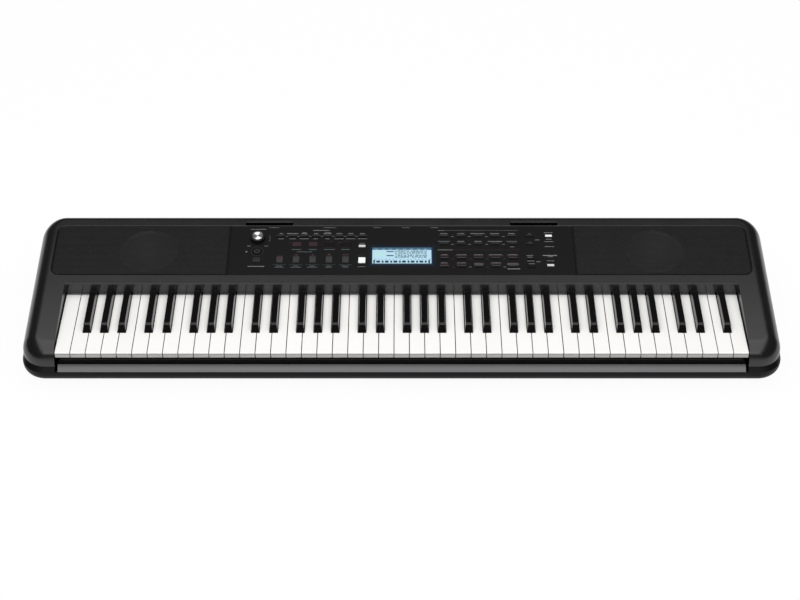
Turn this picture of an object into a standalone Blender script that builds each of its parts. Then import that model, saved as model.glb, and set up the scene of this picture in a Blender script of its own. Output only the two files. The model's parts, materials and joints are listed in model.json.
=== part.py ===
"""Portable keyboard with 76 keys, modelled as the assembly of its real pieces.

Units are metres, +Z is up. The origin lies on the table under the middle of the case,
-Y is the player's side. Pieces of the deck are placed in the deck's own frame: u runs
along the case, v runs up the slope from the slot's rear wall, w stands off the deck.
"""
import math

import bmesh
import bpy
from mathutils import Matrix, Vector

# Keys
KEY_PITCH = 0.0235
KEY_GAP = 0.0010
WHITE_LENGTH = 0.137
WHITE_TOP_Z = 0.060
WHITE_DEPTH = 0.0095
KEY_WALL = 0.0016
KEY_DIP = 0.010
KEY_TAIL = 0.020
SHARP_SETBACK = 0.0467
SHARP_BASE = 0.0124
SHARP_CROWN = 0.0092
SHARP_RISE = 0.012
SHARP_SLOPE = 0.008
SHARP_DEPTH = 0.008
SHARP_GAP = 0.0005
OCTAVES = 7
FIRST_LETTERS = "EFGAB"
LAST_LETTERS = "CDEFG"

# Key hinge bars, stacked behind the slot's wall, and the stems that carry the keys on them
BAR_SETBACK = 0.030
BAR_DEPTH = 0.010
BAR_HEIGHT = 0.0035
BAR_SPACING = 0.0005
BAR_DROP = 0.019
STEM_WIDTH = 0.008
STEM_WALL = 0.0064
STEM_TOP_BITE = 0.0005
STEM_BEND_GAP = 0.002
STEM_REACH = 0.002
STEM_TONGUE_INSET = 0.0005

# Case
APRON_DEPTH = 0.0115
REAR_MARGIN = 0.0284
CHEEK_WIDTH = 0.0537
CASE_WALL = 0.003
CASE_BOTTOM_Z = 0.008
CASE_SEAM_Z = 0.035
BUMPER_TOP_Z = 0.030
LOWER_ROUND = 0.017
STEP_FRONT = 0.0070
STEP_SIDE = 0.0012
STEP_REAR = 0.0020
RIM_UNDERCUT = 0.0004
FRONT_CORNER = 0.038
REAR_CORNER = 0.036
FRONT_ROUND = 0.0275
SIDE_ROUND = 0.026
REAR_ROUND = 0.013
SEAT_GAP = 0.0003

# Key slip, the sloping strip under the key fronts
SLIP_END_GAP = 0.0043
SLIP_RISE = 0.010
SLIP_HOOK_DROP = 0.0045
SLIP_TOP_SETBACK = 0.0079
SLIP_WALL = 0.0026
SLIP_HOOK = 0.002

# Key slot and deck
SLOT_SIDE_GAP = 0.0015
SLOT_REAR_GAP = 0.0020
SLOT_RISE = 0.0205
DECK_SLOPE = math.radians(6.62)
WALL_LIFT = 0.0012

# Panel and grilles, in the deck's frame
PLATE_SETBACK = 0.020
PLATE_DEPTH = 0.110
PLATE_OVERHANG = 0.0258
PANEL_HALF = 0.275
PLATE_THICK = 0.0010
PLATE_SEAM = 0.0003
PLATE_CORNER = 0.015
PANEL_LEDGE = 0.006
PLUG_THICK = 0.0017
SPEAKER_INSET = 0.151
SPEAKER_HOLE = 0.047
REST_SLOT_INNER = 0.176
REST_SLOT_WIDTH = 0.076
REST_SLOT_SETBACK = 0.0018
REST_SLOT_BREADTH = 0.0068

# Buttons: how far the first of each row stands left or right of the panel's middle, how far up
# the slope its rows lie, and the caps' (width, height)
CAP_GAP = 0.0003
WEB_MARGIN = 0.003
WEB_THICK = 0.0012
CAP_TRAVEL = 0.0010
CAP_PROUD = 0.0008
SLIM_ROWS_V = (0.1055, 0.0878, 0.0553, 0.0372)
SLIM_CAP = (0.0135, 0.0032)
MODE_LEFT = 0.194
MODE_PITCH = 0.01874
MODE_COUNT = 8
ICON_LEFT = 0.168
ICON_PITCH = 0.0262
ICON_V = 0.0878
ICON_CAP = (0.014, 0.009)
ICON_COUNT = 4
TRANSPORT_LEFT = 0.1942
TRANSPORT_V = 0.0535
TRANSPORT_CAP = (0.0105, 0.0135)
TRANSPORT_COUNT = 5
VOICE_RIGHT = 0.068
VOICE_PITCH = 0.0273
VOICE_COUNT = 5
STEP_RIGHT = 0.206
START_LEFT = 0.0633
TEMPO_V = 0.0838
TEMPO_CAP = (0.0110, 0.0046)
START_V = 0.052
START_CAP = (0.0110, 0.0122)
WHITE_RIGHT = 0.2365
UPPER_WHITE_V = 0.107
LOWER_WHITE_V = 0.041
WHITE_CAP = (0.0108, 0.0042)
KNOB_LEFT = 0.231
KNOB_V = 0.1006
KNOB_RADIUS = 0.012
KNOB_TOP_RADIUS = 0.0113
KNOB_HEIGHT = 0.007
KNOB_LIFT = 0.0006
SHAFT_RADIUS = 0.003
BUSH_RADIUS = 0.0045
BUSH_PROUD = 0.0002
POT_HALF = 0.0075
POT_BORE_DEPTH = 0.0068
POWER_V = 0.072
POWER_RADIUS = 0.007
SQUARE_V = 0.0527
SQUARE_CAP = (0.0125, 0.0100)

# Display
WINDOW_RIGHT = 0.001
WINDOW_V = 0.062
WINDOW_SIZE = (0.098, 0.039)
WINDOW_THICK = 0.0010
WINDOW_LEDGE = 0.0015
MODULE_MARGIN = 0.002
BOARD_THICK = 0.0016

# Panel board
BOARD_DROP = 0.0083
BOARD_SIDE_INSET = 0.009
BOARD_END_INSET = 0.004
POST_RADIUS = 0.0028
POST_SIDE_INSET = 0.017
POST_END_INSET = 0.013
SWITCH_SIZE = 0.006

# Chassis
CHASSIS_SIDE_GAP = 0.0045
CHASSIS_SETBACK = 0.003
CHASSIS_PLATE = 0.0025
CHASSIS_RIBS = 7
RIB_THICK = 0.004
FELT_SETBACK = 0.007
FELT_WIDTH = 0.012
FELT_THICK = 0.0018
CONTACT_SETBACK = 0.016
CONTACT_DEPTH = 0.057
DOME_SETBACK = 0.034
DOME_DEPTH = 0.014
DOME_HEIGHT = 0.0049

# Main board and rear sockets
MAIN_BOARD_HALF = 0.190
MAIN_BOARD_DEPTH = 0.0505
MAIN_BOARD_RISE = 0.0054
MAIN_BOARD_GAP = 0.001
POST_INNER_X = 0.090
POST_OUTER_INSET = 0.015
POST_FRONT_INSET = 0.005
POST_REAR_INSET = 0.0175
MAIN_POST_RADIUS = 0.004
DC_LEFT = 0.150
PHONES_LEFT = 0.112
PEDAL_LEFT = 0.080
JACK_BODY = (0.014, 0.033, 0.014)
JACK_NOSE = 0.0055
JACK_BORE = 0.0032
JACK_BORE_DEPTH = 0.030
DC_BODY = (0.012, 0.014, 0.011)
DC_NOSE = 0.0048
DC_BORE = 0.0028
DC_BORE_DEPTH = 0.009
DC_PIN = 0.001

# Battery bay
BAY_HALF = 0.056
BAY_SETBACK = 0.030
BAY_DEPTH = 0.058
BAY_RISE = 0.0195
BAY_WALL = 0.0025
COVER_SIDE_LAP = 0.006
COVER_END_LAP = 0.004
COVER_THICK = 0.002
COVER_TONGUE = 0.0015
COVER_TONGUE_THICK = 0.0009
COVER_TRAVEL = 0.012

# Feet
FOOT_SIDE_INSET = 0.106
FOOT_END_INSET = 0.042
FOOT_RADIUS = 0.010
FOOT_HEIGHT = 0.0047
BOSS_RADIUS = 0.0115

# Speakers, in the deck's frame below the deck
BASKET_RADIUS = 0.052
FLANGE_THICK = 0.002
BASKET_SHEET = 0.001
BASKET_FILLET = 0.0025
THROAT_RADIUS = 0.020
THROAT_DEPTH = 0.024
MAGNET_RADIUS = 0.027
MAGNET_DEPTH = 0.038
CONE_RADIUS = 0.0435
CONE_RIM_DEPTH = 0.003
CONE_DEPTH = 0.0195
CONE_SHEET = 0.0015
DUST_CAP_RADIUS = 0.0125
DUST_CAP_RISE = 0.004
SURROUND_WIDTH = 0.0045
SURROUND_RISE = 0.0023

# Mesh steps
TURN_STEPS = 24
SMALL_STEPS = 16
POST_STEPS = 8
ROUND_STEPS = 5
CORNER_STEPS = 6
DUST_CAP_STEPS = 3

# Along X
LETTERS = "CDEFGAB"
SHARP_LANES = {"C": (0, 3, 1), "D": (0, 3, 3), "F": (3, 4, 1), "G": (3, 4, 3), "A": (3, 4, 5)}
WHITE_COUNT = len(FIRST_LETTERS) + len(LAST_LETTERS) + len(LETTERS) * (OCTAVES - 2)
KEYS_HALF = WHITE_COUNT * KEY_PITCH / 2
SLOT_HALF = KEYS_HALF + SLOT_SIDE_GAP
HALF_X = SLOT_HALF + CHEEK_WIDTH
SLIP_HALF = SLOT_HALF - SLIP_END_GAP
PLATE_HALF = SLOT_HALF + PLATE_OVERHANG
SPEAKER_U = PLATE_HALF - SPEAKER_INSET
CHASSIS_HALF = SLOT_HALF - CHASSIS_SIDE_GAP
FOOT_X = HALF_X - FOOT_SIDE_INSET
POST_X = (POST_INNER_X, MAIN_BOARD_HALF - POST_OUTER_INSET)
COVER_HALF = BAY_HALF + COVER_SIDE_LAP

# Along Y, from the front edge to the rear one
PLATE_REAR_V = PLATE_SETBACK + PLATE_DEPTH
CASE_DEPTH = (APRON_DEPTH + WHITE_LENGTH + SLOT_REAR_GAP + PLATE_REAR_V * math.cos(DECK_SLOPE)
              + REAR_MARGIN)
FRONT_Y = -CASE_DEPTH / 2
REAR_Y = CASE_DEPTH / 2
KEY_FRONT_Y = FRONT_Y + APRON_DEPTH
KEY_REAR_Y = KEY_FRONT_Y + WHITE_LENGTH
SLOT_REAR_Y = KEY_REAR_Y + SLOT_REAR_GAP
KEY_TAIL_Y = SLOT_REAR_Y + KEY_TAIL
BAR_Y0 = SLOT_REAR_Y + BAR_SETBACK
BAR_Y1 = BAR_Y0 + BAR_DEPTH
REAR_WALL_Y = REAR_Y - STEP_REAR
MAIN_BOARD_Y1 = REAR_WALL_Y - CASE_WALL - MAIN_BOARD_GAP
MAIN_BOARD_Y0 = MAIN_BOARD_Y1 - MAIN_BOARD_DEPTH
POST_Y = (MAIN_BOARD_Y0 + POST_FRONT_INSET, MAIN_BOARD_Y1 - POST_REAR_INSET)
BAY_Y = (REAR_Y - BAY_SETBACK - BAY_DEPTH, REAR_Y - BAY_SETBACK)
COVER_Y = (BAY_Y[0] - COVER_END_LAP, BAY_Y[1] + COVER_END_LAP)
FOOT_Y = REAR_Y - FOOT_END_INSET

# Heights
FLOOR_Z = CASE_BOTTOM_Z + CASE_WALL
BOSS_BOTTOM_Z = FOOT_HEIGHT + SEAT_GAP
SLIP_FOOT_Z = BUMPER_TOP_Z
SLIP_TOP_Z = SLIP_FOOT_Z + SLIP_RISE
WALL_FOOT_Z = WHITE_TOP_Z + WALL_LIFT
DECK_FRONT_Z = WHITE_TOP_Z + SLOT_RISE
BAR_BOTTOM_Z = WHITE_TOP_Z - BAR_DROP
FELT_TOP_Z = WHITE_TOP_Z - WHITE_DEPTH - KEY_DIP
CHASSIS_TOP_Z = FELT_TOP_Z - FELT_THICK - SEAT_GAP
CHASSIS_PLATE_Z = CHASSIS_TOP_Z - CHASSIS_PLATE
MAIN_BOARD_Z = CASE_SEAM_Z + MAIN_BOARD_RISE
SOCKET_FLOOR_Z = MAIN_BOARD_Z + BOARD_THICK + SEAT_GAP
BAY_TOP_Z = CASE_BOTTOM_Z + BAY_RISE
SOCKETS = ((-DC_LEFT, DC_BODY, DC_NOSE), (-PHONES_LEFT, JACK_BODY, JACK_NOSE), (-PEDAL_LEFT, JACK_BODY, JACK_NOSE))
SOCKET_BORES = ((DC_BORE, DC_BORE_DEPTH), (JACK_BORE, JACK_BORE_DEPTH), (JACK_BORE, JACK_BORE_DEPTH))

# On the deck
PLATE_RECESS = PLATE_THICK + SEAT_GAP
PANEL_BACK = PLATE_THICK + PLUG_THICK
WEB_TOP = -PANEL_BACK - SEAT_GAP
PLATE_V = (PLATE_SETBACK, PLATE_REAR_V)
SPEAKER_V = sum(PLATE_V) / 2
REST_SLOT_V = (PLATE_REAR_V + REST_SLOT_SETBACK, PLATE_REAR_V + REST_SLOT_SETBACK + REST_SLOT_BREADTH)
BOARD_HALF = PANEL_HALF - BOARD_SIDE_INSET
BOARD_V = (PLATE_V[0] + BOARD_END_INSET, PLATE_V[1] - BOARD_END_INSET)
POST_V = (PLATE_V[0] + POST_END_INSET, PLATE_V[1] - POST_END_INSET)
PANEL_POSTS = [(side * (PANEL_HALF - POST_SIDE_INSET), v) for side in (-1, 0, 1) for v in POST_V]
KNOB_CENTRE = (-KNOB_LEFT, KNOB_V, 0)


def cap_row(u0, pitch, count, rows, size):
    """Caps in even columns on one or more rows: (u, v, width, height)."""
    return [(u0 + pitch * i, v, *size) for v in rows for i in range(count)]


BUTTON_SETS = {
    "mode_buttons": (cap_row(-MODE_LEFT, MODE_PITCH, MODE_COUNT, SLIM_ROWS_V[:1], SLIM_CAP), "dark_button"),
    "icon_buttons": (cap_row(-ICON_LEFT, ICON_PITCH, ICON_COUNT, (ICON_V,), ICON_CAP), "grey_button"),
    "transport_buttons": (cap_row(-TRANSPORT_LEFT, ICON_PITCH, TRANSPORT_COUNT, (TRANSPORT_V,), TRANSPORT_CAP),
                          "grey_button"),
    "tempo_button": ([(-START_LEFT, TEMPO_V, *TEMPO_CAP)], "white_button"),
    "start_button": ([(-START_LEFT, START_V, *START_CAP)], "white_button"),
    "voice_buttons": (cap_row(VOICE_RIGHT, VOICE_PITCH, VOICE_COUNT, SLIM_ROWS_V[:2], SLIM_CAP), "dark_button"),
    "rhythm_buttons": (cap_row(VOICE_RIGHT, VOICE_PITCH, VOICE_COUNT, SLIM_ROWS_V[2:], SLIM_CAP), "dark_button"),
    "step_buttons": (cap_row(STEP_RIGHT, 0, 1, SLIM_ROWS_V, SLIM_CAP), "dark_button"),
    "upper_white_button": ([(WHITE_RIGHT, UPPER_WHITE_V, *WHITE_CAP)], "white_button"),
    "lower_white_button": ([(WHITE_RIGHT, LOWER_WHITE_V, *WHITE_CAP)], "white_button"),
    "power_button": ([(-KNOB_LEFT, POWER_V, 2 * POWER_RADIUS, 0)], "dark_button"),
    "square_button": ([(-KNOB_LEFT, SQUARE_V, *SQUARE_CAP)], "grey_button"),
}

MATERIALS = {
    "case_plastic": ((0.060, 0.060, 0.064), 0.45, 0.0),
    "lower_plastic": ((0.020, 0.020, 0.022), 0.5, 0.0),
    "slip_plastic": ((0.090, 0.090, 0.095), 0.4, 0.0),
    "grille_mesh": ((0.030, 0.030, 0.031), 0.6, 0.3),
    "panel_plastic": ((0.018, 0.018, 0.019), 0.4, 0.0),
    "window_plastic": ((0.42, 0.68, 0.80), 0.1, 0.0),
    "display_glass": ((0.40, 0.62, 0.70), 0.2, 0.0),
    "white_key": ((0.85, 0.85, 0.83), 0.3, 0.0),
    "black_key": ((0.012, 0.012, 0.013), 0.3, 0.0),
    "chassis_plastic": ((0.10, 0.10, 0.10), 0.6, 0.0),
    "felt": ((0.025, 0.024, 0.024), 0.95, 0.0),
    "circuit_board": ((0.02, 0.12, 0.05), 0.5, 0.0),
    "knob_plastic": ((0.010, 0.010, 0.010), 0.15, 0.0),
    "pot_metal": ((0.60, 0.60, 0.58), 0.3, 0.9),
    "dark_button": ((0.025, 0.025, 0.026), 0.35, 0.0),
    "grey_button": ((0.110, 0.105, 0.108), 0.45, 0.0),
    "white_button": ((0.85, 0.85, 0.85), 0.35, 0.0),
    "basket_steel": ((0.20, 0.20, 0.21), 0.4, 0.8),
    "cone_paper": ((0.035, 0.035, 0.035), 0.85, 0.0),
    "socket_plastic": ((0.015, 0.015, 0.015), 0.4, 0.0),
    "foot_rubber": ((0.020, 0.020, 0.020), 0.9, 0.0),
}


def clear_scene():
    """Remove what the start-up file holds."""
    for thing in list(bpy.data.objects):
        bpy.data.objects.remove(thing, do_unlink=True)


clear_scene()
parts = bpy.data.collections.new("portable_keyboard")
cutters = bpy.data.collections.new("cutters")
for collection in (parts, cutters):
    bpy.context.scene.collection.children.link(collection)

DECK = Matrix.Translation((0, SLOT_REAR_Y, DECK_FRONT_Z)) @ Matrix.Rotation(DECK_SLOPE, 4, "X")


def material(name):
    """The named plastic, metal, rubber or board."""
    found = bpy.data.materials.get(name)
    if found:
        return found
    colour, roughness, metallic = MATERIALS[name]
    made = bpy.data.materials.new(name)
    made.use_nodes = True
    shader = made.node_tree.nodes["Principled BSDF"]
    shader.inputs["Base Color"].default_value = (*colour, 1)
    shader.inputs["Roughness"].default_value = roughness
    shader.inputs["Metallic"].default_value = metallic
    return made


def deck_z(y):
    """Height of the deck's plane over a point of the table."""
    return DECK_FRONT_Z + (y - SLOT_REAR_Y) * math.tan(DECK_SLOPE)


def add_box(bm, low, high, frame=None):
    """One box between two corners."""
    low, high = Vector(low), Vector(high)
    place = Matrix.Translation((low + high) / 2) @ Matrix.Diagonal((*(high - low), 1))
    bmesh.ops.create_cube(bm, size=1, matrix=(frame or Matrix()) @ place)


def add_drum(bm, centre, radius, low, high, frame=None, axis="Z", top_radius=None, steps=TURN_STEPS):
    """One round block on an axis through centre, from low to high along that axis."""
    turn = Matrix.Rotation(-math.pi / 2, 4, "X") if axis == "Y" else Matrix()
    along = Vector((0, 1, 0)) if axis == "Y" else Vector((0, 0, 1))
    middle = Vector(centre) + along * (low + high) / 2
    place = (frame or Matrix()) @ Matrix.Translation(middle) @ turn
    bmesh.ops.create_cone(bm, cap_ends=True, segments=steps, radius1=radius,
                          radius2=radius if top_radius is None else top_radius,
                          depth=high - low, matrix=place)


def add_rings(bm, rings):
    """Vertices of a stack of rings and the walls between them."""
    rows = [[bm.verts.new(point) for point in ring] for ring in rings]
    count = len(rows[0])
    for below, above in zip(rows, rows[1:]):
        for i in range(count):
            j = (i + 1) % count
            bm.faces.new((below[i], below[j], above[j], above[i]))
    return rows


def add_loft(bm, rings):
    """A closed block through a stack of rings."""
    rows = add_rings(bm, rings)
    bm.faces.new(rows[0])
    bm.faces.new(rows[-1])


def add_hollow(bm, outer, inner):
    """A block that is open underneath: outer rings and pocket rings, both from the foot up."""
    outside = add_rings(bm, outer)
    inside = add_rings(bm, inner)
    count = len(outside[0])
    bm.faces.new(outside[-1])
    bm.faces.new(inside[-1])
    for i in range(count):
        j = (i + 1) % count
        bm.faces.new((outside[0][i], outside[0][j], inside[0][j], inside[0][i]))


def add_profile_x(bm, outline, x0, x1):
    """A bar along X with the given (y, z) outline."""
    add_loft(bm, [[(x, y, z) for y, z in outline] for x in (x0, x1)])


def make(name, bm, slot=None, collection=None):
    """An object from a finished mesh; a cutter when it has no material."""
    bmesh.ops.recalc_face_normals(bm, faces=bm.faces)
    mesh = bpy.data.meshes.new(name)
    bm.to_mesh(mesh)
    bm.free()
    thing = bpy.data.objects.new(name, mesh)
    (collection or (parts if slot else cutters)).objects.link(thing)
    if slot:
        mesh.materials.append(material(slot))
    else:
        thing.hide_render = True
        thing.display_type = "WIRE"
    return thing


def combine(thing, other, operation):
    """Join to, or cut from, thing the shape of other."""
    step = thing.modifiers.new(f"{operation.lower()}_{other.name}", "BOOLEAN")
    step.operation = operation
    step.solver = "EXACT"
    step.object = other


def pivot(thing, point, turn=None):
    """Put the object's origin on its joint's axis without moving its mesh."""
    place = Matrix.Translation(point) @ (turn or Matrix())
    thing.data.transform(place.inverted())
    thing.matrix_world = place


def round_shade(thing):
    """Smooth shading that keeps the edges sharper than 30 degrees."""
    thing.data.shade_smooth()
    thing.data.set_sharp_from_angle(angle=math.radians(30))


def rounded_outline(half_x, front_y, rear_y, front_r, rear_r):
    """Rounded rectangle, anticlockwise: (x, y, angle of the outward normal)."""
    corners = (
        (half_x - rear_r, rear_y - rear_r, rear_r, 0),
        (-half_x + rear_r, rear_y - rear_r, rear_r, 90),
        (-half_x + front_r, front_y + front_r, front_r, 180),
        (half_x - front_r, front_y + front_r, front_r, 270),
    )
    points = []
    for cx, cy, radius, start in corners:
        for step in range(CORNER_STEPS + 1):
            angle = math.radians(start + 90 * step / CORNER_STEPS)
            points.append((cx + radius * math.cos(angle), cy + radius * math.sin(angle), angle))
    return points


def side_mix(angle, side, front, rear):
    """A value that is side, front or rear on the straights and blends round the corners."""
    across = math.cos(angle) ** 2
    return side * across + (front if math.sin(angle) < 0 else rear) * (1 - across)


def upper_skin(inset, foot_z):
    """Rings of the upper case's surface, moved in by inset, from its open foot to the deck."""
    front_wall = deck_z(FRONT_Y + STEP_FRONT) - CASE_SEAM_Z - 2 * SEAT_GAP
    side, front, rear = (radius - inset for radius in (SIDE_ROUND, min(FRONT_ROUND, front_wall), REAR_ROUND))
    rings = []
    for step in range(-1, ROUND_STEPS + 1):
        turn = math.radians(90) * max(step, 0) / ROUND_STEPS
        pull = 1 - math.cos(turn)
        outline = rounded_outline(
            HALF_X - STEP_SIDE - inset - side * pull,
            FRONT_Y + STEP_FRONT + inset + front * pull,
            REAR_Y - STEP_REAR - inset - rear * pull,
            FRONT_CORNER - inset - (side + front) / 2 * pull,
            REAR_CORNER - inset - (side + rear) / 2 * pull)
        ring = []
        for x, y, angle in outline:
            drop = side_mix(angle, side, front, rear) * (1 - math.sin(turn))
            z = deck_z(y) - inset / math.cos(DECK_SLOPE) - drop
            ring.append((x, y, foot_z if step < 0 else z))
        rings.append(ring)
    return rings


def lower_skin(inset, rim_z):
    """Rings of the lower case's surface, moved in by inset, from its floor to its rim."""
    radius = LOWER_ROUND - inset
    levels = []
    for step in range(ROUND_STEPS + 1):
        turn = math.radians(90) * (1 - step / ROUND_STEPS)
        height = CASE_BOTTOM_Z + inset + radius * (1 - math.sin(turn))
        levels.append((height, radius * (1 - math.cos(turn)), 0))
    levels += [(BUMPER_TOP_Z, 0, 0), (CASE_SEAM_Z, 0, 1)]
    if rim_z > CASE_SEAM_Z:
        levels.append((rim_z, 0, 1))
    rings = []
    for z, pull, stepped in levels:
        outline = rounded_outline(
            HALF_X - inset - pull - stepped * (STEP_SIDE - RIM_UNDERCUT),
            FRONT_Y + inset + pull + stepped * (STEP_FRONT - RIM_UNDERCUT),
            REAR_Y - inset - pull - stepped * (STEP_REAR - RIM_UNDERCUT),
            FRONT_CORNER - inset - pull,
            REAR_CORNER - inset - pull)
        rings.append([(x, y, z) for x, y, _ in outline])
    return rings


def add_profile_y(bm, outline, y0, y1):
    """A bar along Y with the given (x, z) outline."""
    add_loft(bm, [[(x, y, z) for x, z in outline] for y in (y0, y1)])


def plate_outline(u0, v0, u1, v1, radii):
    """Rectangle in the deck's plane with its own radius at each corner, anticlockwise."""
    centres = ((u0, v0, 1, 1, 180), (u1, v0, -1, 1, 270), (u1, v1, -1, -1, 0), (u0, v1, 1, -1, 90))
    points = []
    for (u, v, in_u, in_v, start), radius in zip(centres, radii):
        if not radius:
            points.append((u, v))
            continue
        for step in range(CORNER_STEPS + 1):
            angle = math.radians(start + 90 * step / CORNER_STEPS)
            points.append((u + radius * (in_u + math.cos(angle)), v + radius * (in_v + math.sin(angle))))
    return points


def add_plate(bm, outline, w0, w1):
    """A flat plate on the deck between two heights."""
    add_loft(bm, [[DECK @ Vector((u, v, w)) for u, v in outline] for w in (w0, w1)])


def tee_outline(grow):
    """Cross-section of the battery cover with its side tongues, or of the seat around it."""
    half, wide = COVER_HALF + grow, COVER_HALF + COVER_TONGUE + grow
    top = CASE_BOTTOM_Z + COVER_THICK + grow
    step = CASE_BOTTOM_Z + COVER_THICK - COVER_TONGUE_THICK - grow
    foot = CASE_BOTTOM_Z - (CASE_WALL if grow else 0)
    return [(-half, foot), (half, foot), (half, step), (wide, step),
            (wide, top), (-wide, top), (-wide, step), (-half, step)]


def make_lower_case():
    """Tray with the battery bay, the main board's posts and the feet's bosses."""
    bm = bmesh.new()
    add_loft(bm, lower_skin(0, CASE_SEAM_Z))
    tray = make("lower_case", bm, "lower_plastic")

    bm = bmesh.new()
    add_loft(bm, lower_skin(CASE_WALL, CASE_SEAM_Z + CASE_WALL))
    combine(tray, make("lower_hollow", bm), "DIFFERENCE")

    bm = bmesh.new()
    add_box(bm, (-SLOT_HALF - SEAT_GAP, FRONT_Y - CASE_WALL, SLIP_FOOT_Z - SEAT_GAP),
            (SLOT_HALF + SEAT_GAP, FRONT_Y + STEP_FRONT + 2 * CASE_WALL, CASE_SEAM_Z + CASE_WALL))
    combine(tray, make("slip_seat", bm), "DIFFERENCE")

    inside_floor = CASE_BOTTOM_Z + CASE_WALL / 2
    bm = bmesh.new()
    add_box(bm, (-BAY_HALF - BAY_WALL, BAY_Y[0] - BAY_WALL, inside_floor),
            (BAY_HALF + BAY_WALL, BAY_Y[1] + BAY_WALL, BAY_TOP_Z + BAY_WALL))
    combine(tray, make("bay_block", bm), "UNION")

    pad_half = COVER_HALF + COVER_TONGUE + BAY_WALL
    bm = bmesh.new()
    add_box(bm, (-pad_half, COVER_Y[0] - COVER_TRAVEL - BAY_WALL, inside_floor),
            (pad_half, COVER_Y[1] + BAY_WALL, CASE_BOTTOM_Z + COVER_THICK + BAY_WALL))
    combine(tray, make("bay_pad", bm), "UNION")

    bm = bmesh.new()
    for x in (-POST_X[1], -POST_X[0], POST_X[0], POST_X[1]):
        for y in POST_Y:
            add_drum(bm, (x, y, 0), MAIN_POST_RADIUS, inside_floor, MAIN_BOARD_Z - SEAT_GAP, steps=POST_STEPS)
    for x in (-FOOT_X, FOOT_X):
        for y in (-FOOT_Y, FOOT_Y):
            add_drum(bm, (x, y, 0), BOSS_RADIUS, BOSS_BOTTOM_Z, inside_floor, steps=SMALL_STEPS)
    combine(tray, make("posts", bm), "UNION")

    bm = bmesh.new()
    add_box(bm, (-BAY_HALF, BAY_Y[0], CASE_BOTTOM_Z - CASE_WALL), (BAY_HALF, BAY_Y[1], BAY_TOP_Z))
    combine(tray, make("bay", bm), "DIFFERENCE")

    bm = bmesh.new()
    add_profile_y(bm, tee_outline(SEAT_GAP), COVER_Y[0] - COVER_TRAVEL - SEAT_GAP, COVER_Y[1] + SEAT_GAP)
    combine(tray, make("cover_seat", bm), "DIFFERENCE")


def make_battery_cover():
    """Sliding cover with a tongue along both sides."""
    bm = bmesh.new()
    add_profile_y(bm, tee_outline(0), *COVER_Y)
    cover = make("battery_cover", bm, "lower_plastic")
    pivot(cover, (0, sum(COVER_Y) / 2, CASE_BOTTOM_Z))


def make_feet():
    """Four rubber discs under the bosses."""
    for side, x in (("left", -FOOT_X), ("right", FOOT_X)):
        for end, y in (("front", -FOOT_Y), ("rear", FOOT_Y)):
            bm = bmesh.new()
            add_drum(bm, (x, y, 0), FOOT_RADIUS, 0, FOOT_HEIGHT, top_radius=BOSS_RADIUS)
            round_shade(make(f"foot_{end}_{side}", bm, "foot_rubber"))


def make_upper_case():
    """Shell with the deck, both cheeks and the wall behind the keys."""
    bm = bmesh.new()
    add_loft(bm, upper_skin(0, CASE_SEAM_Z + SEAT_GAP))
    shell = make("upper_case", bm, "case_plastic")

    bm = bmesh.new()
    add_loft(bm, upper_skin(CASE_WALL, CASE_SEAM_Z - CASE_WALL))
    cavity = make("upper_cavity", bm)
    bm = bmesh.new()
    add_box(bm, (-SLOT_HALF - CASE_WALL, 2 * FRONT_Y, 0),
            (SLOT_HALF + CASE_WALL, SLOT_REAR_Y + CASE_WALL, 2 * DECK_FRONT_Z))
    combine(cavity, make("slot_walls", bm), "DIFFERENCE")
    combine(shell, cavity, "DIFFERENCE")

    past_wall = SLOT_REAR_Y + 2 * CASE_WALL
    bm = bmesh.new()
    add_profile_x(bm, [(2 * FRONT_Y, 0), (past_wall, 0), (past_wall, WALL_FOOT_Z),
                       (SLOT_REAR_Y, WALL_FOOT_Z), (SLOT_REAR_Y, 2 * DECK_FRONT_Z),
                       (2 * FRONT_Y, 2 * DECK_FRONT_Z)], -SLOT_HALF, SLOT_HALF)
    combine(shell, make("key_slot", bm), "DIFFERENCE")

    bm = bmesh.new()
    add_plate(bm, plate_outline(-PLATE_HALF, PLATE_V[0], PLATE_HALF, PLATE_V[1], (PLATE_CORNER,) * 4),
              -PLATE_RECESS, CASE_WALL)
    combine(shell, make("plate_recess", bm), "DIFFERENCE")

    bm = bmesh.new()
    add_box(bm, (-PANEL_HALF + PANEL_LEDGE, PLATE_V[0] + PANEL_LEDGE, -2 * CASE_WALL),
            (PANEL_HALF - PANEL_LEDGE, PLATE_V[1] - PANEL_LEDGE, CASE_WALL / 2), DECK)
    for side in (-1, 1):
        add_drum(bm, (side * SPEAKER_U, SPEAKER_V, 0), SPEAKER_HOLE, -2 * CASE_WALL, CASE_WALL / 2, DECK)
        ends = sorted((side * REST_SLOT_INNER, side * (REST_SLOT_INNER + REST_SLOT_WIDTH)))
        slot_y = [SLOT_REAR_Y + v * math.cos(DECK_SLOPE) for v in REST_SLOT_V]
        add_box(bm, (ends[0], slot_y[0], deck_z(slot_y[0]) - 3 * CASE_WALL),
                (ends[1], slot_y[1], deck_z(slot_y[1]) + CASE_WALL))
    for x, body, nose in SOCKETS:
        add_drum(bm, (x, 0, SOCKET_FLOOR_Z + body[2] / 2), nose + SEAT_GAP,
                 REAR_WALL_Y - 2 * CASE_WALL, REAR_WALL_Y + CASE_WALL, axis="Y")
    combine(shell, make("deck_openings", bm), "DIFFERENCE")


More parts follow.
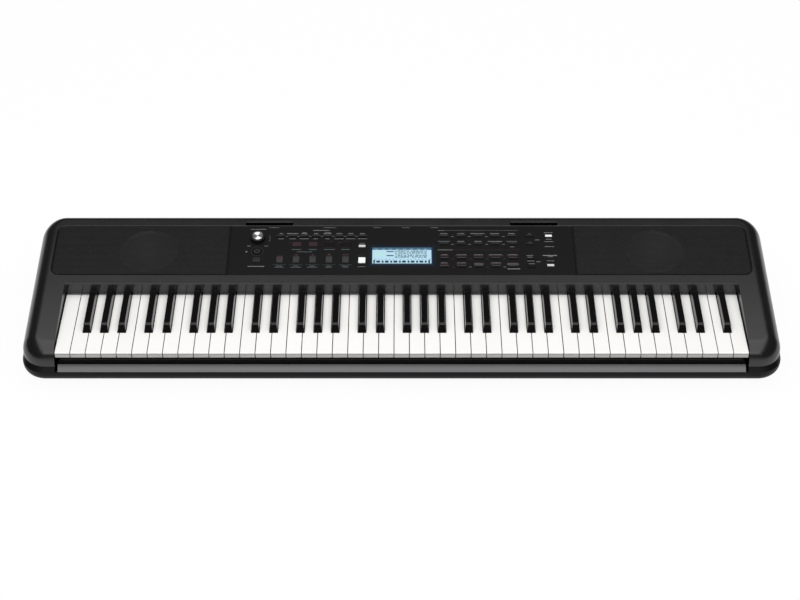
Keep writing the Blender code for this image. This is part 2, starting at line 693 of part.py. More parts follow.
def make_key_slip():
    """Sloping strip under the key fronts, with a lip that hooks behind the lower case's wall."""
    top_y = FRONT_Y + SLIP_TOP_SETBACK
    hook_y = FRONT_Y + CASE_WALL + SEAT_GAP
    hook_z = SLIP_FOOT_Z - SLIP_HOOK_DROP
    bm = bmesh.new()
    add_profile_x(bm, [
        (top_y, SLIP_TOP_Z), (FRONT_Y + SEAT_GAP, SLIP_FOOT_Z), (hook_y, SLIP_FOOT_Z), (hook_y, hook_z),
        (hook_y + SLIP_HOOK, hook_z), (hook_y + SLIP_HOOK, SLIP_FOOT_Z + SLIP_HOOK),
        (top_y + SLIP_WALL, SLIP_TOP_Z - SLIP_WALL / 2), (top_y + SLIP_WALL, SLIP_TOP_Z)], -SLIP_HALF, SLIP_HALF)
    make("key_slip", bm, "slip_plastic")


def make_grilles():
    """Two flat mesh panels let into the deck."""
    inner, outer = PANEL_HALF + PLATE_SEAM, PLATE_HALF - PLATE_SEAM
    low, high = PLATE_V[0] + PLATE_SEAM, PLATE_V[1] - PLATE_SEAM
    corner = PLATE_CORNER - PLATE_SEAM
    for side, ends, radii in (("left", (-outer, -inner), (corner, 0, 0, corner)),
                              ("right", (inner, outer), (0, corner, corner, 0))):
        bm = bmesh.new()
        add_plate(bm, plate_outline(ends[0], low, ends[1], high, radii), -PLATE_THICK, 0)
        make(f"speaker_grille_{side}", bm, "grille_mesh")


def add_cap(bm, cap, grow, w0, w1):
    """One button cap, or the hole around it when it is grown."""
    u, v, width, height = cap
    if height:
        add_box(bm, (u - width / 2 - grow, v - height / 2 - grow, w0),
                (u + width / 2 + grow, v + height / 2 + grow, w1), DECK)
    else:
        add_drum(bm, (u, v, 0), width / 2 + grow, w0, w1, DECK)


def make_control_panel():
    """Front plate with a plug that centres it in the case, posts for its board and all its holes."""
    bm = bmesh.new()
    add_box(bm, (-PANEL_HALF, PLATE_V[0] + PLATE_SEAM, -PLATE_THICK),
            (PANEL_HALF, PLATE_V[1] - PLATE_SEAM, 0), DECK)
    panel = make("control_panel", bm, "panel_plastic")

    plug = PANEL_LEDGE + PLATE_SEAM
    bm = bmesh.new()
    add_box(bm, (-PANEL_HALF + plug, PLATE_V[0] + plug, -PANEL_BACK),
            (PANEL_HALF - plug, PLATE_V[1] - plug, -PLATE_THICK / 2), DECK)
    combine(panel, make("panel_plug", bm), "UNION")

    bm = bmesh.new()
    for u, v in PANEL_POSTS:
        add_drum(bm, (u, v, 0), POST_RADIUS, SEAT_GAP - BOARD_DROP, -PLATE_THICK, DECK, steps=POST_STEPS)
    combine(panel, make("panel_posts", bm), "UNION")

    bm = bmesh.new()
    for caps, _ in BUTTON_SETS.values():
        for cap in caps:
            add_cap(bm, cap, CAP_GAP, -2 * PANEL_BACK, PLATE_THICK)
    add_drum(bm, KNOB_CENTRE, BUSH_RADIUS + SEAT_GAP, -2 * PANEL_BACK, PLATE_THICK, DECK)
    window = (WINDOW_RIGHT, WINDOW_V, *WINDOW_SIZE)
    add_cap(bm, window, -WINDOW_LEDGE, -2 * PANEL_BACK, PLATE_THICK)
    combine(panel, make("panel_holes", bm), "DIFFERENCE")

    bm = bmesh.new()
    add_cap(bm, window, SEAT_GAP, -WINDOW_THICK - SEAT_GAP, PLATE_THICK / 2)
    combine(panel, make("window_seat", bm), "DIFFERENCE")

    bm = bmesh.new()
    add_cap(bm, window, 0, -WINDOW_THICK, 0)
    make("display_window", bm, "window_plastic")

    bm = bmesh.new()
    add_cap(bm, window, MODULE_MARGIN, SEAT_GAP - BOARD_DROP, WEB_TOP)
    make("display_module", bm, "display_glass")


def make_buttons():
    """Each group of caps stands on its own web behind the panel."""
    for name, (caps, slot) in BUTTON_SETS.items():
        us = [side for u, _, width, _ in caps for side in (u - width / 2, u + width / 2)]
        vs = [side for _, v, width, height in caps
              for side in (v - (height or width) / 2, v + (height or width) / 2)]
        bm = bmesh.new()
        add_box(bm, (min(us) - WEB_MARGIN, min(vs) - WEB_MARGIN, WEB_TOP - WEB_THICK),
                (max(us) + WEB_MARGIN, max(vs) + WEB_MARGIN, WEB_TOP), DECK)
        web = make(name, bm, slot)
        bm = bmesh.new()
        for cap in caps:
            add_cap(bm, cap, 0, WEB_TOP - WEB_THICK / 2, CAP_PROUD)
        combine(web, make(f"{name}_caps", bm), "UNION")
        middle = DECK @ Vector(((min(us) + max(us)) / 2, (min(vs) + max(vs)) / 2, 0))
        pivot(web, middle, Matrix.Rotation(DECK_SLOPE, 4, "X"))


def make_volume_control():
    """Knob with its shaft, and the potentiometer that the shaft turns in."""
    bm = bmesh.new()
    add_drum(bm, KNOB_CENTRE, KNOB_RADIUS, KNOB_LIFT, KNOB_HEIGHT, DECK, top_radius=KNOB_TOP_RADIUS)
    knob = make("volume_knob", bm, "knob_plastic")
    bm = bmesh.new()
    add_drum(bm, KNOB_CENTRE, SHAFT_RADIUS, SEAT_GAP - POT_BORE_DEPTH, KNOB_LIFT + SEAT_GAP, DECK,
             steps=SMALL_STEPS)
    combine(knob, make("knob_shaft", bm), "UNION")
    pivot(knob, DECK @ Vector(KNOB_CENTRE), Matrix.Rotation(DECK_SLOPE, 4, "X"))

    u, v, _ = KNOB_CENTRE
    bm = bmesh.new()
    add_box(bm, (u - POT_HALF, v - POT_HALF, SEAT_GAP - BOARD_DROP), (u + POT_HALF, v + POT_HALF, WEB_TOP), DECK)
    pot = make("volume_potentiometer", bm, "pot_metal")
    bm = bmesh.new()
    add_drum(bm, KNOB_CENTRE, BUSH_RADIUS, WEB_TOP - SEAT_GAP, BUSH_PROUD, DECK)
    combine(pot, make("pot_bush", bm), "UNION")
    bm = bmesh.new()
    add_drum(bm, KNOB_CENTRE, SHAFT_RADIUS + SEAT_GAP, -POT_BORE_DEPTH, BUSH_PROUD + SEAT_GAP, DECK,
             steps=SMALL_STEPS)
    combine(pot, make("pot_bore", bm), "DIFFERENCE")


def make_panel_board():
    """Board behind the panel with one key switch under each cap."""
    bm = bmesh.new()
    add_box(bm, (-BOARD_HALF, BOARD_V[0], -BOARD_DROP - BOARD_THICK), (BOARD_HALF, BOARD_V[1], -BOARD_DROP), DECK)
    board = make("panel_board", bm, "circuit_board")
    top = WEB_TOP - WEB_THICK - CAP_TRAVEL - SEAT_GAP
    bm = bmesh.new()
    for caps, _ in BUTTON_SETS.values():
        for u, v, _, _ in caps:
            half = SWITCH_SIZE / 2
            add_box(bm, (u - half, v - half, -BOARD_DROP - BOARD_THICK / 2), (u + half, v + half, top), DECK)
    combine(board, make("switches", bm), "UNION")


def make_speakers():
    """Two loudspeakers under the grilles: a steel basket with its magnet, and a paper cone."""
    seat = CONE_RADIUS + SEAT_GAP
    seat_depth = CONE_RIM_DEPTH + SEAT_GAP
    basket = [(0, -THROAT_DEPTH), (THROAT_RADIUS, -THROAT_DEPTH),
              (THROAT_RADIUS + 2 * BASKET_FILLET, BASKET_FILLET - THROAT_DEPTH), (seat, -seat_depth),
              (SPEAKER_HOLE, 0), (BASKET_RADIUS, 0), (BASKET_RADIUS, -FLANGE_THICK),
              (seat + BASKET_FILLET, -FLANGE_THICK), (seat + BASKET_SHEET, -seat_depth - FLANGE_THICK),
              (MAGNET_RADIUS, -THROAT_DEPTH), (MAGNET_RADIUS, -MAGNET_DEPTH), (0, -MAGNET_DEPTH)]
    shares = [step / DUST_CAP_STEPS for step in range(DUST_CAP_STEPS + 1)]
    cone = [(DUST_CAP_RADIUS * share, DUST_CAP_RISE * (1 - share ** 2) - CONE_DEPTH) for share in shares]
    cone += [(DUST_CAP_RADIUS + CONE_SHEET, -CONE_DEPTH),
             (CONE_RADIUS - SURROUND_WIDTH, -CONE_RIM_DEPTH - CONE_SHEET),
             (CONE_RADIUS - SURROUND_WIDTH / 2, SURROUND_RISE - CONE_RIM_DEPTH - CONE_SHEET),
             (CONE_RADIUS, -CONE_RIM_DEPTH), (CONE_RADIUS - CONE_SHEET, -CONE_RIM_DEPTH - CONE_SHEET / 2),
             (CONE_RADIUS - SURROUND_WIDTH, -CONE_RIM_DEPTH - 2 * CONE_SHEET),
             (DUST_CAP_RADIUS + CONE_SHEET, -CONE_DEPTH - CONE_SHEET), (0, -CONE_DEPTH - CONE_SHEET)]
    for side, u in (("left", -SPEAKER_U), ("right", SPEAKER_U)):
        place = DECK @ Matrix.Translation((u, SPEAKER_V, -CASE_WALL - SEAT_GAP))
        for piece, profile, slot in (("frame", basket, "basket_steel"), ("cone", cone, "cone_paper")):
            mesh = bpy.data.meshes.new(f"speaker_{piece}_{side}")
            mesh.from_pydata([(r, 0, z) for r, z in profile], [(i, i + 1) for i in range(len(profile) - 1)], [])
            mesh.materials.append(material(slot))
            thing = bpy.data.objects.new(f"speaker_{piece}_{side}", mesh)
            parts.objects.link(thing)
            thing.matrix_world = place
            screw = thing.modifiers.new("turn", "SCREW")
            screw.steps = TURN_STEPS
            screw.render_steps = TURN_STEPS
            screw.use_merge_vertices = True
            screw.merge_threshold = 0.00001


def make_chassis():
    """Moulded key bed on cross ribs, with its felt strip and the contact board."""
    half = CHASSIS_HALF
    front = KEY_FRONT_Y + CHASSIS_SETBACK
    rear = BAR_Y1 + KEY_GAP
    rail_front = BAR_Y0 - KEY_GAP
    rail_top = BAR_BOTTOM_Z - BAR_SPACING
    bm = bmesh.new()
    add_profile_x(bm, [(front, CHASSIS_PLATE_Z), (rear, CHASSIS_PLATE_Z), (rear, rail_top),
                       (rail_front, rail_top), (rail_front, CHASSIS_TOP_Z), (front, CHASSIS_TOP_Z)], -half, half)
    chassis = make("key_chassis", bm, "chassis_plastic")
    bm = bmesh.new()
    for i in range(CHASSIS_RIBS):
        x = (half - RIB_THICK) * (2 * i / (CHASSIS_RIBS - 1) - 1)
        add_box(bm, (x - RIB_THICK / 2, FRONT_Y + LOWER_ROUND + CASE_WALL, FLOOR_Z + SEAT_GAP),
                (x + RIB_THICK / 2, rail_front, CHASSIS_PLATE_Z + CHASSIS_PLATE / 2))
    combine(chassis, make("chassis_ribs", bm), "UNION")

    half -= CASE_WALL
    seat = CHASSIS_TOP_Z + SEAT_GAP
    felt_y = KEY_FRONT_Y + FELT_SETBACK
    bm = bmesh.new()
    add_box(bm, (-half, felt_y, seat), (half, felt_y + FELT_WIDTH, seat + FELT_THICK))
    make("key_felt", bm, "felt")

    board_y = SLOT_REAR_Y - CONTACT_SETBACK
    bm = bmesh.new()
    add_box(bm, (-half, board_y - CONTACT_DEPTH, seat), (half, board_y, seat + BOARD_THICK))
    board = make("key_contact_board", bm, "circuit_board")
    half -= CASE_WALL
    dome_y = SLOT_REAR_Y - DOME_SETBACK
    bm = bmesh.new()
    add_box(bm, (-half, dome_y - DOME_DEPTH, seat + BOARD_THICK / 2),
            (half, dome_y, seat + BOARD_THICK + DOME_HEIGHT))
    combine(board, make("contact_strip", bm), "UNION")


def make_main_board():
    """Main board on its posts, with the sockets that reach through the rear wall."""
    bm = bmesh.new()
    add_box(bm, (-MAIN_BOARD_HALF, MAIN_BOARD_Y0, MAIN_BOARD_Z),
            (MAIN_BOARD_HALF, MAIN_BOARD_Y1, MAIN_BOARD_Z + BOARD_THICK))
    make("main_board", bm, "circuit_board")
    names = ("dc_inlet", "phones_jack", "pedal_jack")
    for name, (x, body, nose), (bore, depth) in zip(names, SOCKETS, SOCKET_BORES):
        wide, deep, tall = body
        front = REAR_WALL_Y - CASE_WALL - SEAT_GAP
        centre = (x, 0, SOCKET_FLOOR_Z + tall / 2)
        bm = bmesh.new()
        add_box(bm, (x - wide / 2, front - deep, SOCKET_FLOOR_Z), (x + wide / 2, front, SOCKET_FLOOR_Z + tall))
        socket = make(name, bm, "socket_plastic")
        bm = bmesh.new()
        add_drum(bm, centre, nose, front - CASE_WALL, REAR_WALL_Y - SEAT_GAP, axis="Y")
        combine(socket, make(f"{name}_nose", bm), "UNION")
        bm = bmesh.new()
        add_drum(bm, centre, bore, REAR_WALL_Y - depth, REAR_WALL_Y + CASE_WALL, axis="Y")
        combine(socket, make(f"{name}_bore", bm), "DIFFERENCE")
        if name == "dc_inlet":
            bm = bmesh.new()
            add_drum(bm, centre, DC_PIN, REAR_WALL_Y - depth - DC_PIN, REAR_WALL_Y - CASE_WALL, axis="Y",
                     steps=SMALL_STEPS)
            combine(socket, make("dc_pin", bm), "UNION")


def inset_outline(outline, distance):
    """A rectilinear outline, anticlockwise, moved inwards."""
    count = len(outline)
    points = []
    for i, (x, y) in enumerate(outline):
        before, after = Vector(outline[i - 1]), Vector(outline[(i + 1) % count])
        here = Vector((x, y))
        for edge in ((here - before).normalized(), (after - here).normalized()):
            x -= edge.y * distance
            y += edge.x * distance
        points.append((x, y))
    return points


def sharp_centre(letter, octave_x):
    """Middle of the sharp above a white key: the lanes behind C-E and behind F-B are even."""
    first, whites, lane = SHARP_LANES[letter]
    lanes = 2 * whites - 1
    return octave_x + KEY_PITCH * (first + whites * (lane + 0.5) / lanes)


def add_white_key(bm, x0, x1, notch_left, notch_right):
    """One white key, hollow underneath, cut back on the sides where a sharp stands."""
    notch_y = KEY_FRONT_Y + SHARP_SETBACK - SHARP_GAP
    left = x0 if notch_left is None else notch_left
    right = x1 if notch_right is None else notch_right
    outline = [(x0, KEY_FRONT_Y), (x1, KEY_FRONT_Y)]
    if notch_right is not None:
        outline += [(x1, notch_y), (right, notch_y)]
    outline += [(right, KEY_TAIL_Y), (left, KEY_TAIL_Y)]
    if notch_left is not None:
        outline += [(left, notch_y), (x0, notch_y)]
    pocket = inset_outline(outline, KEY_WALL)
    add_hollow(bm, [[(x, y, z) for x, y in outline] for z in (WHITE_TOP_Z - WHITE_DEPTH, WHITE_TOP_Z)],
               [[(x, y, z) for x, y in pocket] for z in (WHITE_TOP_Z - WHITE_DEPTH, WHITE_TOP_Z - KEY_WALL)])
    return (left + right) / 2


def sharp_ring(x, half, front, rear, z):
    """One level of a sharp's body."""
    return [(x - half, front, z), (x + half, front, z), (x + half, rear, z), (x - half, rear, z)]


def add_sharp_key(bm, x):
    """One sharp, hollow underneath, with a narrower crown and a sloping front."""
    front = KEY_FRONT_Y + SHARP_SETBACK
    foot, shoulder, crown = WHITE_TOP_Z - SHARP_DEPTH, WHITE_TOP_Z, WHITE_TOP_Z + SHARP_RISE
    base, top = SHARP_BASE / 2, SHARP_CROWN / 2
    rear = KEY_REAR_Y
    wall = KEY_WALL
    add_hollow(
        bm,
        [sharp_ring(x, base, front, rear, foot), sharp_ring(x, base, front, rear, shoulder),
         sharp_ring(x, top, front + SHARP_SLOPE, rear, crown)],
        [sharp_ring(x, base - wall, front + wall, rear - wall, foot),
         sharp_ring(x, base - wall, front + wall, rear - wall, shoulder - wall / 2),
         sharp_ring(x, top - wall, front + SHARP_SLOPE + wall, rear - wall, crown - wall)])


def make_comb(name, slot, level, ends, add_keys, stem_xs, stem_top, stem_front):
    """A comb of keys on one hinge bar, with the bar's axis as its origin."""
    low = BAR_BOTTOM_Z + level * (BAR_HEIGHT + BAR_SPACING)
    high = low + BAR_HEIGHT
    bm = bmesh.new()
    add_box(bm, (ends[0], BAR_Y0, low), (ends[1], BAR_Y1, high))
    comb = make(name, bm, slot)

    bm = bmesh.new()
    add_keys(bm)
    combine(comb, make(f"{name}_keys", bm), "UNION")

    rise_y = KEY_TAIL_Y - STEM_WALL
    bend_y = BAR_Y0 - STEM_BEND_GAP
    reach_y = BAR_Y0 + STEM_REACH
    foot, shoulder = low + STEM_TONGUE_INSET, high - STEM_TONGUE_INSET
    outline = [(stem_front, stem_top), (rise_y, foot), (reach_y, foot), (reach_y, shoulder),
               (bend_y, shoulder), (bend_y, stem_top)]
    if stem_front < rise_y:
        outline.insert(1, (stem_front, stem_top - STEM_WALL))
        outline.insert(2, (rise_y, stem_top - STEM_WALL))
    bm = bmesh.new()
    for x in stem_xs:
        add_profile_x(bm, outline, x - STEM_WIDTH / 2, x + STEM_WIDTH / 2)
    combine(comb, make(f"{name}_stems", bm), "UNION")
    pivot(comb, (0, (BAR_Y0 + BAR_Y1) / 2, (low + high) / 2))


def make_octave(octave):
    """The three combs of one octave: C E G B, D F A and the sharps."""
    octave_x = (octave * len(LETTERS) - LETTERS.index(FIRST_LETTERS[0])) * KEY_PITCH - KEYS_HALF
    letters = LETTERS
    if octave == 0:
        letters = FIRST_LETTERS
    if octave == OCTAVES - 1:
        letters = LAST_LETTERS
    sharps = {letter: sharp_centre(letter, octave_x) for letter in letters
              if letter in SHARP_LANES and letter != letters[-1]}
    first_x = octave_x + LETTERS.index(letters[0]) * KEY_PITCH
    ends = (first_x + KEY_GAP / 2, first_x + len(letters) * KEY_PITCH - KEY_GAP / 2)
    notch = SHARP_BASE / 2 + SHARP_GAP

    for level, chosen in enumerate(("DFA", "CEGB")):
        stem_xs = []

        def add_keys(bm, chosen=chosen, stem_xs=stem_xs):
            for letter in letters:
                if letter not in chosen:
                    continue
                place = LETTERS.index(letter)
                x0 = octave_x + place * KEY_PITCH + KEY_GAP / 2
                x1 = octave_x + (place + 1) * KEY_PITCH - KEY_GAP / 2
                before = LETTERS[place - 1] if place else ""
                left = sharps[before] + notch if before in sharps else None
                right = sharps[letter] - notch if letter in sharps else None
                stem_xs.append(add_white_key(bm, x0, x1, left, right))

        make_comb(f"white_keys_{chosen.lower()}_{octave + 1}", "white_key", level, ends, add_keys,
                  stem_xs, WHITE_TOP_Z - KEY_WALL + STEM_TOP_BITE, KEY_TAIL_Y - STEM_WALL)

    def add_sharps(bm):
        for x in sharps.values():
            add_sharp_key(bm, x)

    make_comb(f"black_keys_{octave + 1}", "black_key", 2, ends, add_sharps, list(sharps.values()),
              WHITE_TOP_Z - SEAT_GAP, KEY_REAR_Y - SHARP_DEPTH)


make_lower_case()
make_battery_cover()
make_feet()
make_upper_case()
make_key_slip()
make_grilles()
make_control_panel()
make_buttons()
make_volume_control()
make_panel_board()
make_speakers()
make_chassis()
make_main_board()
for octave_number in range(OCTAVES):
    make_octave(octave_number)
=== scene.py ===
import json
import math
import random

import bmesh
import bpy
from mathutils import Matrix, Vector


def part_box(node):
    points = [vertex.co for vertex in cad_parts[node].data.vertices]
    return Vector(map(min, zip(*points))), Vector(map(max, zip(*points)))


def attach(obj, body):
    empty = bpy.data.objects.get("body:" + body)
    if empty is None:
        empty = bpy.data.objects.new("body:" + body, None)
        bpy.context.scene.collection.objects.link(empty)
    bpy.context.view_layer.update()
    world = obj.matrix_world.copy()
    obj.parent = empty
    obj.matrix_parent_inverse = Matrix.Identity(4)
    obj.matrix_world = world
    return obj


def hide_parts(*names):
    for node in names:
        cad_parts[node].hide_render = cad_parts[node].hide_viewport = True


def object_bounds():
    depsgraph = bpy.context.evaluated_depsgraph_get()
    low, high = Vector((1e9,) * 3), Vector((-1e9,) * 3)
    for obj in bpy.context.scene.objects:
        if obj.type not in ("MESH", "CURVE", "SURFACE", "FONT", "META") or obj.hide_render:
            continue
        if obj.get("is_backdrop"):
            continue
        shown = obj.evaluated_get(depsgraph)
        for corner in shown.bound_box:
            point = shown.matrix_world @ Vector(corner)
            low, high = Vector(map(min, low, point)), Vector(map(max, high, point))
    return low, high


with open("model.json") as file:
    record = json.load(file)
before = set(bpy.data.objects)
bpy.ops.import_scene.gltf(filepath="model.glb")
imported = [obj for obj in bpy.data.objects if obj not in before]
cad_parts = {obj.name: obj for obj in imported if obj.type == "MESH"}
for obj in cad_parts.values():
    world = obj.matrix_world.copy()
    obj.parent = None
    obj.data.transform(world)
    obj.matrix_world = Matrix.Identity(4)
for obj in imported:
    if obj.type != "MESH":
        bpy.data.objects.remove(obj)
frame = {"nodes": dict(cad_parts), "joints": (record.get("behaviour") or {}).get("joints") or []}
cad_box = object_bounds()

# Looks of a portable keyboard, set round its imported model. Units are metres, +Z is up and -Y is
# the player's side. Every section makes one piece, or a group of like pieces, with its finish.


# Studio
# A pale floor that runs on as the backdrop, a wide soft box overhead and a weak one in front. The
# sky is white to the camera, and for what mirrors it, it dims overhead. The camera stands in
# front of the keys and looks down on the whole instrument.

class Wire:
    """One output in a finish's node tree. Arithmetic on wires adds Math nodes."""

    def __init__(self, finish, socket):
        self.finish = finish
        self.socket = socket

    def __getitem__(self, name):
        return Wire(self.finish, self.socket.node.outputs[name])

    def math(self, operation, first, second=0.0):
        return self.finish.node("ShaderNodeMath", {"operation": operation}, {0: first, 1: second})

    def __add__(self, other):
        return self.math("ADD", self, other)

    def __radd__(self, other):
        return self.math("ADD", other, self)

    def __sub__(self, other):
        return self.math("SUBTRACT", self, other)

    def __rsub__(self, other):
        return self.math("SUBTRACT", other, self)

    def __mul__(self, other):
        return self.math("MULTIPLY", self, other)

    def __rmul__(self, other):
        return self.math("MULTIPLY", other, self)

    def __truediv__(self, other):
        return self.math("DIVIDE", self, other)

    def __gt__(self, other):
        return self.math("GREATER_THAN", self, other)

    def __abs__(self):
        return self.math("ABSOLUTE", self)


class Finish:
    """The node tree of one finish, of a lamp-lit surface or of the world."""

    def __init__(self, owner):
        owner.use_nodes = True
        self.owner = owner
        self.tree = owner.node_tree
        self.tree.nodes.clear()

    def node(self, kind, settings=(), sockets=()):
        """One node: its settings come first, then the values or wires of its sockets."""
        made = self.tree.nodes.new(kind)
        for name, value in dict(settings).items():
            setattr(made, name, value)
        for name, value in dict(sockets).items():
            if isinstance(value, Wire):
                self.tree.links.new(value.socket, made.inputs[name])
            else:
                made.inputs[name].default_value = value
        return Wire(self, made.outputs[0]) if made.outputs else None

    def mix(self, share, first, second):
        """A colour between two colours."""
        colours = [c if isinstance(c, Wire) else (*c, 1) for c in (first, second)]
        mixed = self.node("ShaderNodeMix", {"data_type": "RGBA"}, {0: share, 6: colours[0], 7: colours[1]})
        return mixed[2]

    def shades(self, share, colour, low, high):
        """The colour made low to high times as light."""
        return self.mix(share, *[[channel * scale for channel in colour] for scale in (low, high)])

    def place(self):
        """Where a point of the surface lies on the instrument, in metres."""
        return self.node("ShaderNodeTexCoord")["Object"]

    def noise(self, size, detail=2.0):
        """Cloudy noise from 0 to 1 whose spots are about that size."""
        return self.node("ShaderNodeTexNoise", {},
                         {"Vector": self.place(), "Scale": 1 / size, "Detail": detail})

    def bump(self, height, depth, strength=1.0):
        """Surface normals of a relief that is depth metres deep."""
        return self.node("ShaderNodeBump", {}, {"Strength": strength, "Distance": depth, "Height": height})

    def surface(self, sockets):
        """The finished material, from the sockets of its surface shader."""
        shader = self.node("ShaderNodeBsdfPrincipled", {}, sockets)
        self.node("ShaderNodeOutputMaterial", {}, {"Surface": shader})
        return self.owner


def seen_directly(finish):
    """1 where the camera, a reflection or a clear pane looks at it, and 0 for its light on others."""
    path = finish.node("ShaderNodeLightPath")
    return path.math("MAXIMUM", path["Is Camera Ray"],
                     path.math("MAXIMUM", path["Is Glossy Ray"], path["Is Transmission Ray"]))


CAMERA_BACK = 2.089
CAMERA_HEIGHT = 1.937
CAMERA_SIDE = -0.0026
CAMERA_LENS = 83.07
CAMERA_TILT = math.radians(49.7)
FLOOR_HALF = 9.0
FLOOR_WHITE = 0.86
FLOOR_LIFT = 0.95
SKY_FILL = 0.50
DOME_EDGE = (0.12, 0.42)
DOME_TOP = 0.06
DOME_SIDE = 0.35
SOFT_BOXES = (
    ("overhead", (0, -0.22, 2.25), (0, 0, 0), (3.4, 3.54), 58),
    ("front", (0, -2.6, 2.3), (math.radians(48), 0, 0), (3.0, 0.8), 18),
)

key_front_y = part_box("white_keys_dfa_1")[0].y
camera = bpy.data.objects.new("camera", bpy.data.cameras.new("camera"))
camera.data.lens = CAMERA_LENS
camera.location = (CAMERA_SIDE, key_front_y - CAMERA_BACK, CAMERA_HEIGHT)
camera.rotation_euler = (CAMERA_TILT, 0, 0)
bpy.context.scene.collection.objects.link(camera)
bpy.context.scene.camera = camera
bpy.context.scene.view_settings.view_transform = "Standard"

for name, spot, turn, size, watts in SOFT_BOXES:
    lamp = bpy.data.lights.new(name, "AREA")
    lamp.shape = "RECTANGLE"
    lamp.size, lamp.size_y = size
    lamp.energy = watts
    soft_box = bpy.data.objects.new(name, lamp)
    soft_box.location = spot
    soft_box.rotation_euler = turn
    bpy.context.scene.collection.objects.link(soft_box)

world = bpy.data.worlds.new("studio")
bpy.context.scene.world = world
sky = Finish(world)
aim = sky.node("ShaderNodeSeparateXYZ", {}, {0: sky.node("ShaderNodeTexCoord")["Generated"]})
height = aim["Z"] + DOME_SIDE * abs(aim["X"])
dome = sky.node("ShaderNodeMapRange", {"interpolation_type": "SMOOTHSTEP"}, {
    "Value": height, "From Min": DOME_EDGE[0], "From Max": DOME_EDGE[1], "To Min": 1.0, "To Max": DOME_TOP})
path = sky.node("ShaderNodeLightPath")
sky_light = path.math("MAXIMUM", path["Is Camera Ray"], SKY_FILL + (dome - SKY_FILL) * seen_directly(sky))
backdrop = sky.node("ShaderNodeBackground", {}, {"Strength": sky_light})
sky.node("ShaderNodeOutputWorld", {}, {"Surface": backdrop})

paper = Finish(bpy.data.materials.new("floor_paper"))
lit = paper.node("ShaderNodeBsdfDiffuse", {}, {"Color": (FLOOR_WHITE, FLOOR_WHITE, FLOOR_WHITE, 1)})
glow = paper.node("ShaderNodeEmission", {}, {"Strength": 1.0})
paper.node("ShaderNodeOutputMaterial", {}, {"Surface": paper.node(
    "ShaderNodeMixShader", {}, {0: FLOOR_LIFT * seen_directly(paper), 1: lit, 2: glow})})
bm = bmesh.new()
bmesh.ops.create_grid(bm, x_segments=4, y_segments=4, size=FLOOR_HALF)
floor_mesh = bpy.data.meshes.new("floor")
bm.to_mesh(floor_mesh)
bm.free()
floor_mesh.materials.append(paper.owner)
floor = bpy.data.objects.new("floor", floor_mesh)
bpy.context.scene.collection.objects.link(floor)
floor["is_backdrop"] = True


# Upper case
# One injection-moulded shell of dark grey plastic: sloping deck, end cheeks and the wall behind
# the keys. Its edges are rounded, and it is screwed to the lower case from below.

SEAT_GAP = 0.0003
CASE_WALL = 0.003
STEP_FRONT = 0.0070
STEP_SIDE = 0.0012
STEP_REAR = 0.0020
FRONT_CORNER = 0.038
REAR_CORNER = 0.036
FRONT_ROUND = 0.0275
SIDE_ROUND = 0.026
REAR_ROUND = 0.013
WHITE_LENGTH = 0.137
SLOT_SIDE_GAP = 0.0015
SLOT_REAR_GAP = 0.0020
SLOT_RISE = 0.0205
WALL_LIFT = 0.0028
PLATE_OVERHANG = 0.0258
PLATE_SETBACK = 0.020
PLATE_DEPTH = 0.110
PLATE_RECESS = 0.0013
PLATE_CORNER = 0.015
PANEL_HALF = 0.275
PANEL_LEDGE = 0.006
SPEAKER_INSET = 0.151
SPEAKER_HOLE = 0.047
REST_SLOT_INNER = 0.176
REST_SLOT_WIDTH = 0.076
REST_SLOT_SETBACK = 0.0018
REST_SLOT_BREADTH = 0.0068
SOCKETS = {"dc_inlet": 0.0048, "phones_jack": 0.0055, "pedal_jack": 0.0055}
FINE_STEPS = (14, 12)
COARSE_STEPS = (6, 5)
EDGE = 0.0005
WALL_EDGE = 0.0013
CHEEK_EDGE = 0.0006
SHARP_ANGLE = math.radians(32)
FACING = 0.9

case_low, case_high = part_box("lower_case")
half_x, front_y, rear_y = case_high.x, case_low.y, case_high.y
seam_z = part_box("upper_case")[0].z - SEAT_GAP
white_top_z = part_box("white_keys_dfa_1")[1].z
slot_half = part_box("white_keys_dfa_7")[1].x + SLOT_SIDE_GAP
slot_rear_y = key_front_y + WHITE_LENGTH + SLOT_REAR_GAP
deck_front_z = white_top_z + SLOT_RISE
rear_wall_y = rear_y - STEP_REAR
press = next(joint for joint in frame["joints"] if joint["name"] == "mode_buttons_press")
slope = math.atan2(press["axis"][1], -press["axis"][2])
deck = Matrix.Translation((0, slot_rear_y, deck_front_z)) @ Matrix.Rotation(slope, 4, "X")
plate_half = slot_half + PLATE_OVERHANG
plate_v = (PLATE_SETBACK, PLATE_SETBACK + PLATE_DEPTH)
speaker_u = plate_half - SPEAKER_INSET
speaker_v = sum(plate_v) / 2
rest_v = (plate_v[1] + REST_SLOT_SETBACK, plate_v[1] + REST_SLOT_SETBACK + REST_SLOT_BREADTH)
rest_y = [slot_rear_y + v * math.cos(slope) for v in rest_v]
rest_outer = REST_SLOT_INNER + REST_SLOT_WIDTH
rest_slots = ((-rest_outer, -REST_SLOT_INNER), (REST_SLOT_INNER, rest_outer))


def arc(centre, radius, start, steps):
    """Points of a quarter turn, anticlockwise from start degrees."""
    turns = [math.radians(start + 90 * step / steps) for step in range(steps + 1)]
    return [(centre[0] + radius * math.cos(turn), centre[1] + radius * math.sin(turn)) for turn in turns]


def rectangle(x0, y0, x1, y1, radius=0.0, steps=6):
    """Rectangle, anticlockwise, with one radius or with a radius for each corner."""
    radii = radius if isinstance(radius, tuple) else (radius,) * 4
    corners = ((x0, y0, 1, 1, 180), (x1, y0, -1, 1, 270), (x1, y1, -1, -1, 0), (x0, y1, 1, -1, 90))
    points = []
    for (x, y, in_x, in_y, start), r in zip(corners, radii):
        points += arc((x + in_x * r, y + in_y * r), r, start, steps) if r else [(x, y)]
    return points


